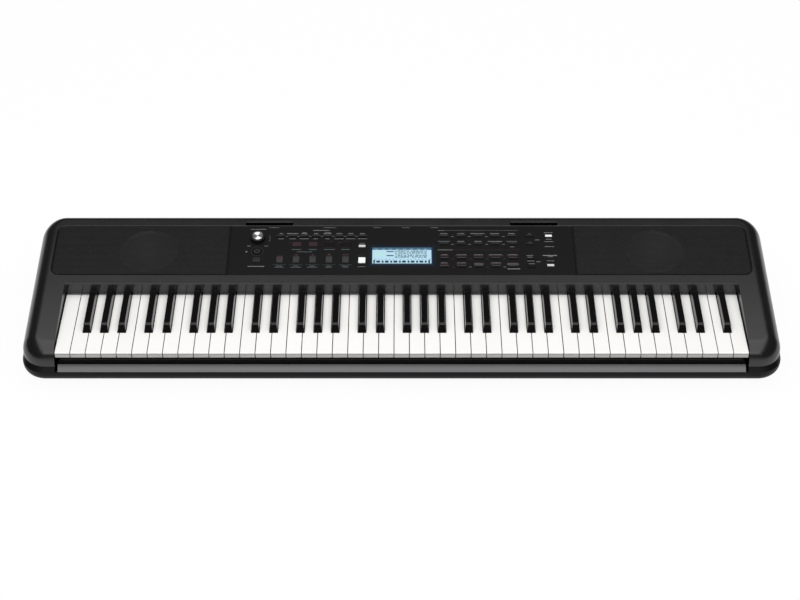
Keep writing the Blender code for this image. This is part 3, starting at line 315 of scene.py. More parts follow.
def circle(x, y, radius, steps=48):
    """Circle, anticlockwise."""
    turns = [math.tau * step / steps for step in range(steps)]
    return [(x + radius * math.cos(turn), y + radius * math.sin(turn)) for turn in turns]


def inset(outline, distance):
    """The outline moved inwards, with its corners kept."""
    moved = []
    for i, here in enumerate(outline):
        before = (Vector(here) - Vector(outline[i - 1])).normalized()
        after = (Vector(outline[(i + 1) % len(outline)]) - Vector(here)).normalized()
        first, second = Vector((-before.y, before.x)), Vector((-after.y, after.x))
        moved.append(tuple(Vector(here) + (first + second) * distance / (1 + first.dot(second))))
    return moved


def level(outline, z, place=None):
    """A flat outline as a ring at one height, on the deck if that is its place."""
    return [(place or Matrix()) @ Vector((x, y, z)) for x, y in outline]


def along_x(outline, x0, x1):
    """The two ends of a bar along X with that (y, z) outline."""
    return [[Vector((x, y, z)) for y, z in outline] for x in (x0, x1)]


def upright(outline, low, high, place=None):
    """The two ends of an upright block."""
    return [level(outline, low, place), level(outline, high, place)]


def flared(outline, low, high, place=None):
    """Rings of a cutter that leaves a narrow chamfer round the mouth of its hole, at height high."""
    return [level(outline, low, place), level(outline, high - EDGE, place),
            level(inset(outline, -2 * EDGE), high + EDGE, place)]


def blocks(*stacks):
    """A mesh of closed blocks, each one drawn through its own stack of rings."""
    bm = bmesh.new()
    for rings in stacks:
        rows = [[bm.verts.new(point) for point in ring] for ring in rings]
        for below, above in zip(rows, rows[1:]):
            for i in range(len(below)):
                bm.faces.new((below[i - 1], below[i], above[i], above[i - 1]))
        bm.faces.new(rows[0])
        bm.faces.new(rows[-1])
    bmesh.ops.recalc_face_normals(bm, faces=bm.faces)
    return bm


def carve(body, tool, operation="DIFFERENCE"):
    """The body with the tool's shape cut away, or joined on."""
    pair = []
    for bm in (body, tool):
        mesh = bpy.data.meshes.new("carving")
        bm.to_mesh(mesh)
        bm.free()
        pair.append(bpy.data.objects.new("carving", mesh))
        bpy.context.scene.collection.objects.link(pair[-1])
    step = pair[0].modifiers.new("carve", "BOOLEAN")
    step.operation = operation
    step.solver = "EXACT"
    step.object = pair[1]
    result = bmesh.new()
    result.from_mesh(pair[0].evaluated_get(bpy.context.evaluated_depsgraph_get()).to_mesh())
    for thing in pair:
        bpy.data.meshes.remove(thing.data)
    return result


def soften(bm, width, chosen, segments=3):
    """Round the sharp edges that are chosen by their middle."""
    edges = [edge for edge in bm.edges if len(edge.link_faces) == 2
             and edge.calc_face_angle(0) > SHARP_ANGLE and chosen((edge.verts[0].co + edge.verts[1].co) / 2)]
    bmesh.ops.bevel(bm, geom=edges, offset=width, segments=segments, profile=0.5, affect="EDGES",
                    clamp_overlap=False)
    return bm


def fit(name, bm, finishes, slot, body, *nodes):
    """The finished mesh as a piece that rides on a body and stands for its CAD nodes."""
    mesh = bpy.data.meshes.new(name)
    bm.to_mesh(mesh)
    bm.free()
    for finish in finishes if isinstance(finishes, tuple) else (finishes,):
        mesh.materials.append(finish)
    mesh.shade_smooth()
    mesh.set_sharp_from_angle(angle=SHARP_ANGLE)
    piece = bpy.data.objects.new(name, mesh)
    bpy.context.scene.collection.objects.link(piece)
    piece.modifiers.new("flat faces stay flat", "WEIGHTED_NORMAL").keep_sharp = True
    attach(piece, body)
    if nodes:
        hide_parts(*nodes)
    return piece


def moulded(name, colour, roughness, grain=0.0007, depth=0.000012, specular=0.5):
    """Moulded plastic: an even colour with faint clouds, and a fine spark-eroded grain."""
    plastic = Finish(bpy.data.materials.new(name))
    clouds = plastic.noise(0.06, 4)
    pores = plastic.noise(grain, 3)
    return plastic.surface({
        "Base Color": plastic.shades(clouds, colour, 0.92, 1.08),
        "Roughness": roughness + 0.10 * (clouds - 0.5) + 0.06 * (pores - 0.5),
        "Specular IOR Level": specular,
        "Normal": plastic.bump(pores, depth, 0.6),
    })


def deck_z(y):
    """Height of the deck over a point of the table."""
    return deck_front_z + (y - slot_rear_y) * math.tan(slope)


def case_outline(half, front, rear, front_r, rear_r, steps):
    """Outline of the case, anticlockwise from the rear right corner, with its outward angles."""
    spots = ((half - rear_r, rear - rear_r, rear_r, 0), (rear_r - half, rear - rear_r, rear_r, 90),
             (front_r - half, front + front_r, front_r, 180), (half - front_r, front + front_r, front_r, 270))
    return [(*point, math.radians(start + 90 * step / steps)) for x, y, r, start in spots
            for step, point in enumerate(arc((x, y), r, start, steps))]


def upper_rings(inner, foot_z, steps):
    """Rings of the upper case's skin, moved in by inner, from its foot up to the deck."""
    corner_steps, round_steps = steps
    front_wall = deck_z(front_y + STEP_FRONT) - seam_z - 2 * SEAT_GAP
    side, front, rear = (r - inner for r in (SIDE_ROUND, min(FRONT_ROUND, front_wall), REAR_ROUND))
    rings = []
    for step in range(-1, round_steps + 1):
        turn = math.radians(90) * max(step, 0) / round_steps
        pull = 1 - math.cos(turn)
        ring = []
        for x, y, angle in case_outline(
                half_x - STEP_SIDE - inner - side * pull, front_y + STEP_FRONT + inner + front * pull,
                rear_wall_y - inner - rear * pull, FRONT_CORNER - inner - (side + front) / 2 * pull,
                REAR_CORNER - inner - (side + rear) / 2 * pull, corner_steps):
            across = math.cos(angle) ** 2
            edge_round = side * across + (front if math.sin(angle) < 0 else rear) * (1 - across)
            z = deck_z(y) - inner / math.cos(slope) - edge_round * (1 - math.sin(turn))
            ring.append(Vector((x, y, foot_z if step < 0 else z)))
        rings.append(ring)
    return rings


case_finish = moulded("case_plastic_grained", (0.0065, 0.0065, 0.0075), 0.24, specular=0.62)
wall_finish = moulded("key_wall_gloss", (0.020, 0.020, 0.022), 0.12, depth=0.000004)

shell = blocks(upper_rings(0, seam_z + SEAT_GAP, FINE_STEPS))
cheek_side = slot_half + CASE_WALL
key_well = upright(rectangle(-cheek_side, 2 * front_y, cheek_side, slot_rear_y + CASE_WALL),
                   0, 2 * deck_front_z)
cavity = carve(blocks(upper_rings(CASE_WALL, seam_z - CASE_WALL, COARSE_STEPS)), blocks(key_well))
shell = carve(shell, cavity)
past_wall = slot_rear_y + 2 * CASE_WALL
wall_foot_z = white_top_z + WALL_LIFT
wall_top = arc((slot_rear_y + WALL_EDGE, deck_front_z - WALL_EDGE), WALL_EDGE, 90, 4)[::-1]
shell = carve(shell, blocks(along_x(
    [(2 * front_y, 0), (past_wall, 0), (past_wall, wall_foot_z), (slot_rear_y, wall_foot_z), *wall_top,
     (slot_rear_y + WALL_EDGE, 2 * deck_front_z), (2 * front_y, 2 * deck_front_z)], -slot_half, slot_half)))
shell = carve(shell, blocks(flared(
    rectangle(-plate_half, plate_v[0], plate_half, plate_v[1], PLATE_CORNER, 12), -PLATE_RECESS, 0, deck)))
openings = [upright(rectangle(-PANEL_HALF + PANEL_LEDGE, plate_v[0] + PANEL_LEDGE,
                              PANEL_HALF - PANEL_LEDGE, plate_v[1] - PANEL_LEDGE), -2 * CASE_WALL, 0, deck)]
for u, ends in zip((-speaker_u, speaker_u), rest_slots):
    openings.append(upright(circle(u, speaker_v, SPEAKER_HOLE, 72), -2 * CASE_WALL, 0, deck))
    rest_hole = rectangle(ends[0], rest_y[0], ends[1], rest_y[1], REST_SLOT_BREADTH / 4, 4)
    openings.append([[Vector((x, y, deck_z(y) + rise)) for x, y in grown] for rise, grown in
                     ((-3 * CASE_WALL, rest_hole), (-EDGE, rest_hole), (EDGE, inset(rest_hole, -2 * EDGE)))])
socket_places = {}
for name, nose in SOCKETS.items():
    low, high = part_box(name)
    socket_places[name] = ((low.x + high.x) / 2, (low.z + high.z) / 2)
    hole = circle(*socket_places[name], nose + SEAT_GAP, 32)
    openings.append([[Vector((x, y, z)) for x, z in grown] for y, grown in
                     ((rear_wall_y - 2 * CASE_WALL, hole), (rear_wall_y - EDGE, hole),
                      (rear_wall_y + EDGE, inset(hole, -2 * EDGE)))])
shell = carve(shell, blocks(*openings))
soften(shell, CHEEK_EDGE, lambda middle: abs(abs(middle.x) - slot_half) < SEAT_GAP
       and middle.y < slot_rear_y - WALL_EDGE / 2 and middle.z > seam_z + CASE_WALL)
for face in shell.faces:
    on_wall = abs(face.calc_center_median().y - slot_rear_y) < SEAT_GAP
    face.material_index = int(on_wall and face.normal.y < -FACING)
fit("case_top_shell", shell, (case_finish, wall_finish), "case_plastic", "instrument", "upper_case")


# Lower case
# The tray of harder black plastic that carries everything. It shows as the bumper along the front
# and round the corners. Nine screw wells, the feet's bosses and the battery bay are underneath.

RIM_UNDERCUT = 0.0004
SLIP_FOOT_RISE = 0.022
LOWER_ROUND = 0.017
BAY_HALF = 0.056
BAY_SETBACK = 0.030
BAY_DEPTH = 0.058
BAY_RISE = 0.0195
BAY_WALL = 0.0025
COVER_THICK = 0.002
COVER_TONGUE = 0.0015
COVER_TONGUE_THICK = 0.0009
COVER_TRAVEL = 0.012
BOSS_RADIUS = 0.0115
WELL_RADIUS = 0.0042
WELL_DEPTH = 0.0017
WELL_COLUMNS = (-0.545, -0.27, 0, 0.27, 0.545)
WELL_ROWS = (-0.118, 0.118)

case_bottom_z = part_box("battery_cover")[0].z
bumper_top_z = case_bottom_z + SLIP_FOOT_RISE
bay_y = (rear_y - BAY_SETBACK - BAY_DEPTH, rear_y - BAY_SETBACK)
cover_low, cover_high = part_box("battery_cover")
cover_half = cover_high.x - COVER_TONGUE
wells = [(x, y) for x in WELL_COLUMNS for y in WELL_ROWS if x or y < 0]


def along_y(outline, y0, y1):
    """The two ends of a bar along Y with that (x, z) outline."""
    return [[Vector((x, y, z)) for x, z in outline] for y in (y0, y1)]


def lower_rings(inner, rim_z, steps):
    """Rings of the lower case's skin, moved in by inner, from its floor up to its rim."""
    corner_steps, round_steps = steps
    radius = LOWER_ROUND - inner
    levels = []
    for step in range(round_steps + 1):
        turn = math.radians(90) * (1 - step / round_steps)
        z = case_bottom_z + inner + radius * (1 - math.sin(turn))
        levels.append((z, radius * (1 - math.cos(turn)), 0))
    levels += [(bumper_top_z - EDGE, 0, 0), (bumper_top_z, EDGE, 0), (seam_z, 0, 1)]
    if rim_z > seam_z:
        levels.append((rim_z, 0, 1))
    return [[Vector((x, y, z)) for x, y, _ in case_outline(
        half_x - inner - pull - stepped * (STEP_SIDE - RIM_UNDERCUT),
        front_y + inner + pull + stepped * (STEP_FRONT - RIM_UNDERCUT),
        rear_y - inner - pull - stepped * (STEP_REAR - RIM_UNDERCUT),
        FRONT_CORNER - inner - pull, REAR_CORNER - inner - pull, corner_steps)]
        for z, pull, stepped in levels]


def tee_outline(grow):
    """Cross-section of the battery cover with its side tongues, or of the seat around it."""
    half, wide = cover_half + grow, cover_half + COVER_TONGUE + grow
    top = case_bottom_z + COVER_THICK + grow
    step = case_bottom_z + COVER_THICK - COVER_TONGUE_THICK - grow
    foot = case_bottom_z - (CASE_WALL if grow else 0)
    return [(-half, foot), (half, foot), (half, step), (wide, step),
            (wide, top), (-wide, top), (-wide, step), (-half, step)]


tray_finish = moulded("tray_plastic", (0.0045, 0.0045, 0.005), 0.42, specular=0.12)
hollow = blocks(lower_rings(CASE_WALL, seam_z + CASE_WALL, COARSE_STEPS))
tray = carve(blocks(lower_rings(0, seam_z, FINE_STEPS)), hollow)
tray = carve(tray, blocks(upright(rectangle(
    -slot_half - SEAT_GAP, front_y - CASE_WALL, slot_half + SEAT_GAP, front_y + STEP_FRONT + 2 * CASE_WALL),
    bumper_top_z - SEAT_GAP, seam_z + CASE_WALL)))
inside_floor = case_bottom_z + CASE_WALL / 2
bay_block = rectangle(-BAY_HALF - BAY_WALL, bay_y[0] - BAY_WALL, BAY_HALF + BAY_WALL, bay_y[1] + BAY_WALL)
tray = carve(tray, blocks(upright(bay_block, inside_floor, case_bottom_z + BAY_RISE + BAY_WALL)), "UNION")
pad = rectangle(-cover_half - COVER_TONGUE - BAY_WALL, cover_low.y - COVER_TRAVEL - BAY_WALL,
                cover_half + COVER_TONGUE + BAY_WALL, cover_high.y + BAY_WALL)
tray = carve(tray, blocks(upright(pad, inside_floor, case_bottom_z + COVER_THICK + BAY_WALL)), "UNION")
feet = {name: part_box(name) for name in frame["nodes"] if name.startswith("foot_")}
bosses = [upright(circle((low.x + high.x) / 2, (low.y + high.y) / 2, BOSS_RADIUS, 40),
                  high.z + SEAT_GAP, inside_floor) for low, high in feet.values()]
tray = carve(tray, blocks(*bosses), "UNION")
tray = carve(tray, blocks(upright(rectangle(-BAY_HALF, bay_y[0], BAY_HALF, bay_y[1]),
                                  case_bottom_z - CASE_WALL, case_bottom_z + BAY_RISE)))
seat_ends = (cover_low.y - COVER_TRAVEL - SEAT_GAP, cover_high.y + SEAT_GAP)
tray = carve(tray, blocks(along_y(tee_outline(SEAT_GAP), *seat_ends)))
tray = carve(tray, blocks(*[upright(circle(x, y, WELL_RADIUS, 32), case_bottom_z - CASE_WALL,
                                    case_bottom_z + WELL_DEPTH) for x, y in wells]))
fit("case_bottom_tray", tray, tray_finish, "lower_plastic", "instrument", "lower_case")


# Key slip
# A grey moulded strip that slopes up from the bumper to just under the key fronts. It hooks
# behind the tray's front wall and its top is rounded. Its satin grey is darkened towards the top
# with painted shade, where the keys shadow it.

SLIP_END_GAP = 0.0043
SLIP_TOP_SETBACK = 0.0079
SLIP_RISE = 0.009
SLIP_HOOK_DROP = 0.0045
SLIP_WALL = 0.0026
SLIP_HOOK = 0.002
SLIP_PAINTED_SHADE = (0.45, 1.0)

slip_half = slot_half - SLIP_END_GAP


def slip_outline():
    """Cross-section of the slip: sloping face, rounded top, hook behind the tray's wall."""
    foot = bumper_top_z
    top_y, top_z = front_y + SLIP_TOP_SETBACK, foot + SLIP_RISE
    hook_y, hook_z = front_y + CASE_WALL + SEAT_GAP, foot - SLIP_HOOK_DROP
    crest = arc((top_y + SLIP_WALL / 2, top_z - SLIP_WALL / 2), SLIP_WALL / 2, 90, 5)
    return [(front_y + SEAT_GAP + EDGE, foot), (hook_y, foot), (hook_y, hook_z), (hook_y + SLIP_HOOK, hook_z),
            (hook_y + SLIP_HOOK, foot + SLIP_HOOK), (top_y + SLIP_WALL, top_z - SLIP_WALL),
            (top_y + SLIP_WALL, top_z - SLIP_WALL / 2), *crest, (front_y + SEAT_GAP, foot + EDGE)]


def satin_strip_with_painted_shade(name, low_colour, shaded_top_colour):
    """Satin grey paint with painted shade: darker towards the strip's top edge, where the keys shadow it."""
    satin = Finish(bpy.data.materials.new(name))
    rise = (satin.node("ShaderNodeSeparateXYZ", {}, {0: satin.place()})["Z"] - bumper_top_z) / SLIP_RISE
    # Painted shade: the colour darkens towards the top of the strip, standing in for the keys' shadow.
    shade = satin.node("ShaderNodeMapRange", {"interpolation_type": "SMOOTHSTEP"}, {
        "Value": rise, "From Min": SLIP_PAINTED_SHADE[0], "From Max": SLIP_PAINTED_SHADE[1]})
    pores = satin.noise(0.0007, 3)
    return satin.surface({
        "Base Color": satin.mix(shade, low_colour, shaded_top_colour), "Roughness": 0.32 + 0.06 * (pores - 0.5),
        "Normal": satin.bump(pores, 0.000012, 0.6)})


slip_finish = satin_strip_with_painted_shade("slip_satin_painted_shade", (0.125, 0.125, 0.130), (0.045, 0.045, 0.048))
fit("slip_strip", blocks(along_x(slip_outline(), -slip_half, slip_half)), slip_finish, "slip_plastic",
    "instrument", "key_slip")


# Keys
# 45 white keys of glossy ABS and 31 sharps of black, moulded as three interleaved combs for each
# octave. A shallow groove runs under each white key's lip. The skirt below it and the key sides
# are given a darker white as painted shade. Stems carry the keys of a comb back to one thin hinge
# bar behind the wall.

KEY_PITCH = 0.0235
KEY_GAP = 0.0010
WHITE_DEPTH = 0.0095
WHITE_EDGE = 0.0007
LIP_EDGE = 0.0018
LIP_CORNER = 0.0008
LIP_GROOVE = 0.0009
GROOVE_FOOT = 0.0036
TAIL_CORNER = 0.0014
ROUND_STEPS = 8
KEY_TAIL = 0.020
SHARP_SETBACK = 0.0467
SHARP_BASE = 0.0124
SHARP_CROWN = 0.0092
SHARP_RISE = 0.012
SHARP_SLOPE = 0.008
SHARP_DEPTH = 0.008
SHARP_GAP = 0.0005
SHARP_EDGE = 0.0012
SHARP_NOSE = 0.0022
SHARP_CORNER = 0.0010
BAR_SETBACK = 0.030
BAR_DEPTH = 0.010
BAR_HEIGHT = 0.0035
BAR_SPACING = 0.0005
BAR_DROP = 0.019
STEM_WIDTH = 0.008
STEM_DEPTH = 0.0064
SKIRT_TURN = 0.4
OCTAVES = 7
LETTERS = "CDEFGAB"
FIRST_LETTERS = "EFGAB"
LAST_LETTERS = "CDEFG"
SHARP_LANES = {"C": (0, 3, 1), "D": (0, 3, 3), "F": (3, 4, 1), "G": (3, 4, 3), "A": (3, 4, 5)}

keys_half = slot_half - SLOT_SIDE_GAP + KEY_GAP / 2
key_rear_y = key_front_y + WHITE_LENGTH
key_tail_y = slot_rear_y + KEY_TAIL


def key_gloss(name, colour, roughness, spread, specular=0.5):
    """Polished key plastic; each key is tinted a trace differently, as moulded batches are."""
    gloss = Finish(bpy.data.materials.new(name))
    along = gloss.node("ShaderNodeSeparateXYZ", {}, {0: gloss.place()})
    number = along.math("FLOOR", (along + keys_half) / KEY_PITCH)
    tint = gloss.node("ShaderNodeTexWhiteNoise", {"noise_dimensions": "1D"}, {"W": number})
    smears = gloss.noise(0.02, 4)
    return gloss.surface({
        "Base Color": gloss.shades(tint, colour, 1 - spread, 1),
        "Roughness": roughness + 0.12 * (smears - 0.5),
        "Specular IOR Level": specular,
        "Normal": gloss.bump(gloss.noise(0.0012, 2), 0.000006, 0.5),
    })


def drawn_in(z, top, radius):
    """How far a rounded edge has drawn in at height z."""
    rise = max(0.0, z - (top - radius))
    return radius - math.sqrt(max(0.0, radius * radius - rise * rise))


def white_key(x0, x1, notch_left, notch_right):
    """Rings of one white key, cut back on the sides where a sharp stands."""
    notch_y = key_front_y + SHARP_SETBACK - SHARP_GAP
    left = x0 if notch_left is None else notch_left
    right = x1 if notch_right is None else notch_right
    outline = arc((x0 + LIP_CORNER, key_front_y + LIP_CORNER), LIP_CORNER, 180, 3)
    outline += arc((x1 - LIP_CORNER, key_front_y + LIP_CORNER), LIP_CORNER, 270, 3)
    if notch_right is not None:
        outline += [(x1, notch_y), (right, notch_y)]
    outline += arc((right - TAIL_CORNER, key_tail_y - TAIL_CORNER), TAIL_CORNER, 0, 3)
    outline += arc((left + TAIL_CORNER, key_tail_y - TAIL_CORNER), TAIL_CORNER, 90, 3)
    if notch_left is not None:
        outline += [(left, notch_y), (x0, notch_y)]
    rings = [level(outline, white_top_z - WHITE_DEPTH), level(outline, white_top_z - GROOVE_FOOT)]
    outline = [(x, y - (key_tail_y - key_rear_y) * (y > slot_rear_y)) for x, y in outline]
    for drop in (GROOVE_FOOT - EDGE / 2, LIP_EDGE + EDGE / 2):
        rings.append([Vector((x, y + LIP_GROOVE * (y < key_front_y + 2 * LIP_EDGE), white_top_z - drop))
                      for x, y in outline])
    for step in range(ROUND_STEPS + 1):
        turn = math.radians(90) * step / ROUND_STEPS
        z = white_top_z - LIP_EDGE * (1 - math.sin(turn))
        side = drawn_in(z, white_top_z, WHITE_EDGE)
        lip = drawn_in(z, white_top_z, LIP_EDGE) - side
        rings.append([Vector((x, y + (lip if y < key_front_y + 2 * LIP_EDGE else 0), z))
                      for x, y in inset(outline, side)])
    return rings, (left + right) / 2


def sharp_key(x):
    """Rings of one sharp: upright foot, leaning sides, long sloping nose and a rounded crown."""
    front = key_front_y + SHARP_SETBACK
    foot, shoulder, crown = white_top_z - SHARP_DEPTH, white_top_z, white_top_z + SHARP_RISE
    turns = [math.radians(90) * step / ROUND_STEPS for step in range(ROUND_STEPS + 1)]
    rings = []
    for z in [foot, shoulder] + [crown - SHARP_NOSE * (1 - math.sin(turn)) for turn in turns]:
        share = max(0.0, (z - shoulder) / SHARP_RISE)
        half = (SHARP_BASE + (SHARP_CROWN - SHARP_BASE) * share) / 2 - drawn_in(z, crown, SHARP_EDGE)
        nose = front + SHARP_SLOPE * share + drawn_in(z, crown, SHARP_NOSE)
        tail = key_rear_y - drawn_in(z, crown, SHARP_EDGE)
        rings.append(level(rectangle(x - half, nose, x + half, tail, SHARP_CORNER, 3), z))
    return rings


def comb_frame(rank, ends, stem_xs, stem_top, stem_front):
    """Rings of a comb's hinge bar and of the stems that carry its keys."""
    low = white_top_z - BAR_DROP + rank * (BAR_HEIGHT + BAR_SPACING)
    bar_y = slot_rear_y + BAR_SETBACK
    bar = upright(rectangle(ends[0], bar_y, ends[1], bar_y + BAR_DEPTH), low, low + BAR_HEIGHT)
    rise_y, bend_y = key_tail_y - STEM_DEPTH, bar_y - KEY_GAP * 2
    side = [(stem_front, stem_top - STEM_DEPTH), (rise_y, stem_top - STEM_DEPTH), (rise_y, low + EDGE),
            (bar_y, low + EDGE), (bar_y, low + BAR_HEIGHT - EDGE), (bend_y, low + BAR_HEIGHT - EDGE),
            (bend_y, stem_top), (stem_front, stem_top)]
    return [bar] + [along_x(side, x - STEM_WIDTH / 2, x + STEM_WIDTH / 2) for x in stem_xs]


white_finish = key_gloss("white_key_gloss", (0.90, 0.89, 0.87), 0.22, 0.025)
# Painted shade: a darker white for the key faces where shade falls, in the gaps and under the lip.
painted_shade_key_finish = key_gloss("white_key_skirt", (0.44, 0.43, 0.42), 0.35, 0.025)
black_finish = key_gloss("black_key_gloss", (0.0035, 0.0035, 0.004), 0.14, 0.15, 0.40)
for octave in range(OCTAVES):
    octave_x = (octave * len(LETTERS) - LETTERS.index(FIRST_LETTERS[0])) * KEY_PITCH - keys_half
    letters = {0: FIRST_LETTERS, OCTAVES - 1: LAST_LETTERS}.get(octave, LETTERS)
    sharps = {}
    for letter in letters[:-1]:
        if letter in SHARP_LANES:
            first, whites, lane = SHARP_LANES[letter]
            sharps[letter] = octave_x + KEY_PITCH * (first + whites * (lane + 0.5) / (2 * whites - 1))
    first_x = octave_x + LETTERS.index(letters[0]) * KEY_PITCH
    ends = (first_x + KEY_GAP / 2, first_x + len(letters) * KEY_PITCH - KEY_GAP / 2)
    notch = SHARP_BASE / 2 + SHARP_GAP
    for rank, chosen in enumerate(("DFA", "CEGB")):
        stacks, stem_xs = [], []
        for letter in letters:
            if letter in chosen:
                number = LETTERS.index(letter)
                x0 = octave_x + number * KEY_PITCH + KEY_GAP / 2
                before = LETTERS[number - 1] if number else ""
                rings, middle = white_key(x0, x0 + KEY_PITCH - KEY_GAP,
                                          sharps[before] + notch if before in sharps else None,
                                          sharps[letter] - notch if letter in sharps else None)
                stacks.append(rings)
                stem_xs.append(middle)
        stacks += comb_frame(rank, ends, stem_xs, white_top_z - EDGE, key_tail_y - STEM_DEPTH)
        node = f"white_keys_{chosen.lower()}_{octave + 1}"
        comb = blocks(*stacks)
        # The skirt under the lip and the key sides take the darker white: painted shade for the gaps and the
        # shaded front.
        for face in comb.faces:
            below_lip = face.calc_center_median().z < white_top_z - LIP_EDGE
            in_skirt = below_lip and (face.normal.y < -SKIRT_TURN or abs(face.normal.z) > SKIRT_TURN)
            face.material_index = int(in_skirt or abs(face.normal.x) > FACING)
        fit(node.replace("keys", "comb"), comb, (white_finish, painted_shade_key_finish), "white_key", node, node)
    stacks = [sharp_key(x) for x in sharps.values()]
    stacks += comb_frame(2, ends, sharps.values(), white_top_z - SEAT_GAP, key_rear_y - SHARP_DEPTH)
    node = f"black_keys_{octave + 1}"
    fit(f"sharp_comb_{octave + 1}", blocks(*stacks), black_finish, "black_key", node, node)


# Speaker grilles
# Two plates of black-painted steel, punched with a honeycomb of small holes and let flush into
# the deck. The outer corners follow the case, and a plain rim runs round, painted darker than
# the mesh as painted shade in the seam around the plate.

PLATE_THICK = 0.0010
PLATE_SEAM = 0.0003
HOLE_PITCH = 0.0030
HOLE_ACROSS = 0.0021
GRILLE_RIM = 0.0005


def honeycomb(ends, radii):
    """A punched plate in the deck's plane: hexagonal cells with holes, inside a plain rim."""
    outline = rectangle(ends[0], plate_v[0] + PLATE_SEAM, ends[1], plate_v[1] - PLATE_SEAM, radii, 12)
    inner = [Vector(point) for point in inset(outline, GRILLE_RIM)]
    bm = bmesh.new()
    corners = {}

    def corner(x, y):
        key = (round(x * 1e5), round(y * 1e5))
        if key not in corners:
            corners[key] = bm.verts.new((x, y, 0))
        return corners[key]

    def inside(x, y):
        return all((after - before).cross(Vector((x, y)) - before) > 0
                   for before, after in zip(inner, inner[1:] + inner[:1]))

    def hexagon(x, y, across):
        turns = [math.radians(30 + 60 * i) for i in range(6)]
        reach = across / math.sqrt(3)
        return [(x + reach * math.cos(turn), y + reach * math.sin(turn)) for turn in turns]

    row_pitch = HOLE_PITCH * math.sqrt(0.75)
    half_rows, half_columns = int(PLATE_DEPTH / row_pitch / 2), int((ends[1] - ends[0]) / HOLE_PITCH / 2)
    for row in range(-half_rows, half_rows + 1):
        for column in range(-half_columns, half_columns + 1):
            x = sum(ends) / 2 + HOLE_PITCH * (column + row % 2 / 2)
            y = sum(plate_v) / 2 + row_pitch * row
            outer = hexagon(x, y, HOLE_PITCH)
            if not all(inside(*point) for point in outer):
                continue
            ring = [corner(*point) for point in outer]
            hole = [bm.verts.new((*point, 0)) for point in hexagon(x, y, HOLE_ACROSS)]
            for i in range(6):
                bm.faces.new((ring[i - 1], ring[i], hole[i], hole[i - 1]))
    cells = set(bm.faces)
    cell_corners = set(corners.values())
    border = [edge for edge in bm.edges if len(edge.link_faces) == 1
              and edge.verts[0] in cell_corners and edge.verts[1] in cell_corners]
    rim = [bm.verts.new((x, y, 0)) for x, y in outline]
    border += [bm.edges.new((rim[i - 1], rim[i])) for i in range(len(rim))]
    bmesh.ops.triangle_fill(bm, use_beauty=True, edges=border)
    for face in bm.faces:
        face.material_index = int(face not in cells)
        if face.normal.z < 0:
            face.normal_flip()
    sheet = bmesh.ops.extrude_face_region(bm, geom=list(bm.faces))
    moved = [item for item in sheet["geom"] if isinstance(item, bmesh.types.BMVert)]
    bmesh.ops.translate(bm, verts=moved, vec=(0, 0, -PLATE_THICK))
    bmesh.ops.recalc_face_normals(bm, faces=bm.faces)
    bmesh.ops.transform(bm, matrix=deck, verts=bm.verts)
    return bm


grille_finish = moulded("grille_paint", (0.013, 0.013, 0.014), 0.42, 0.0004, 0.00002, specular=0.35)
# Painted shade: the rim is darker than the mesh to stand in for the shadow in the seam round the plate.
rim_painted_shade_finish = moulded("grille_rim_painted_shade", (0.004, 0.004, 0.0042), 0.6, 0.0004, 0.00002, specular=0.1)
inner_edge, outer_edge = PANEL_HALF + PLATE_SEAM, plate_half - PLATE_SEAM
corner_round = PLATE_CORNER - PLATE_SEAM
for side, ends, radii in (("left", (-outer_edge, -inner_edge), (corner_round, 0, 0, corner_round)),
                          ("right", (inner_edge, outer_edge), (0, corner_round, corner_round, 0))):
    fit(f"grille_mesh_{side}", honeycomb(ends, radii), (grille_finish, rim_painted_shade_finish), "grille_mesh",
        "instrument", f"speaker_grille_{side}")


# Loudspeakers
# Two full-range drivers hang under the deck: a pressed steel basket with its magnet, and a black
# paper cone with a rubber surround and a dust cap. The grilles leave them dimly in sight.

CONE_RADIUS = 0.0435
CONE_RIM_DEPTH = 0.003
CONE_DEPTH = 0.0195
CONE_SHEET = 0.0012
DUST_CAP_RADIUS = 0.0125
DUST_CAP_RISE = 0.0036
SURROUND_WIDTH = 0.0045
SURROUND_RISE = 0.0020
PIN_PRICK = 0.0004
FLARE_SHARES = (0.03, 0.2, 0.4, 0.6, 0.8, 1.0)
FLARE_POWER = 1.25


def turned(profile, place, steps=64):
    """Rings of a round block from (radius, height) points."""
    return [level(circle(0, 0, radius, steps), height, place) for radius, height in profile]


def cone_profile():
    """Front of the cone from the dust cap out to its rim, and back underneath."""
    inner = CONE_RADIUS - SURROUND_WIDTH
    eighths = [step / 8 for step in range(9)]
    front = [(max(PIN_PRICK, DUST_CAP_RADIUS * share), DUST_CAP_RISE * (1 - share ** 2) - CONE_DEPTH)
             for share in eighths]
    front += [(DUST_CAP_RADIUS + (inner - DUST_CAP_RADIUS) * share,
               -CONE_DEPTH + (CONE_DEPTH - CONE_RIM_DEPTH - CONE_SHEET) * share ** FLARE_POWER)
              for share in FLARE_SHARES]
    front += [(inner + SURROUND_WIDTH * share,
               -CONE_RIM_DEPTH - CONE_SHEET * (1 - share) + SURROUND_RISE * math.sin(math.pi * share))
              for share in eighths[1:]]
    return front + [(CONE_RADIUS, -CONE_RIM_DEPTH - CONE_SHEET), (inner, -CONE_RIM_DEPTH - 2.4 * CONE_SHEET),
                    (DUST_CAP_RADIUS, -CONE_DEPTH - CONE_SHEET), (PIN_PRICK, -CONE_DEPTH - CONE_SHEET)]


def paper_pulp(name, colour):
    """Pressed paper: coarse fibres that mottle the colour and roughen the surface."""
    pulp = Finish(bpy.data.materials.new(name))
    fibres = pulp.noise(0.0011, 6)
    return pulp.surface({
        "Base Color": pulp.shades(fibres, colour, 0.6, 1.5), "Roughness": 0.30 + 0.3 * fibres,
        "Normal": pulp.bump(fibres, 0.00010, 0.6)})


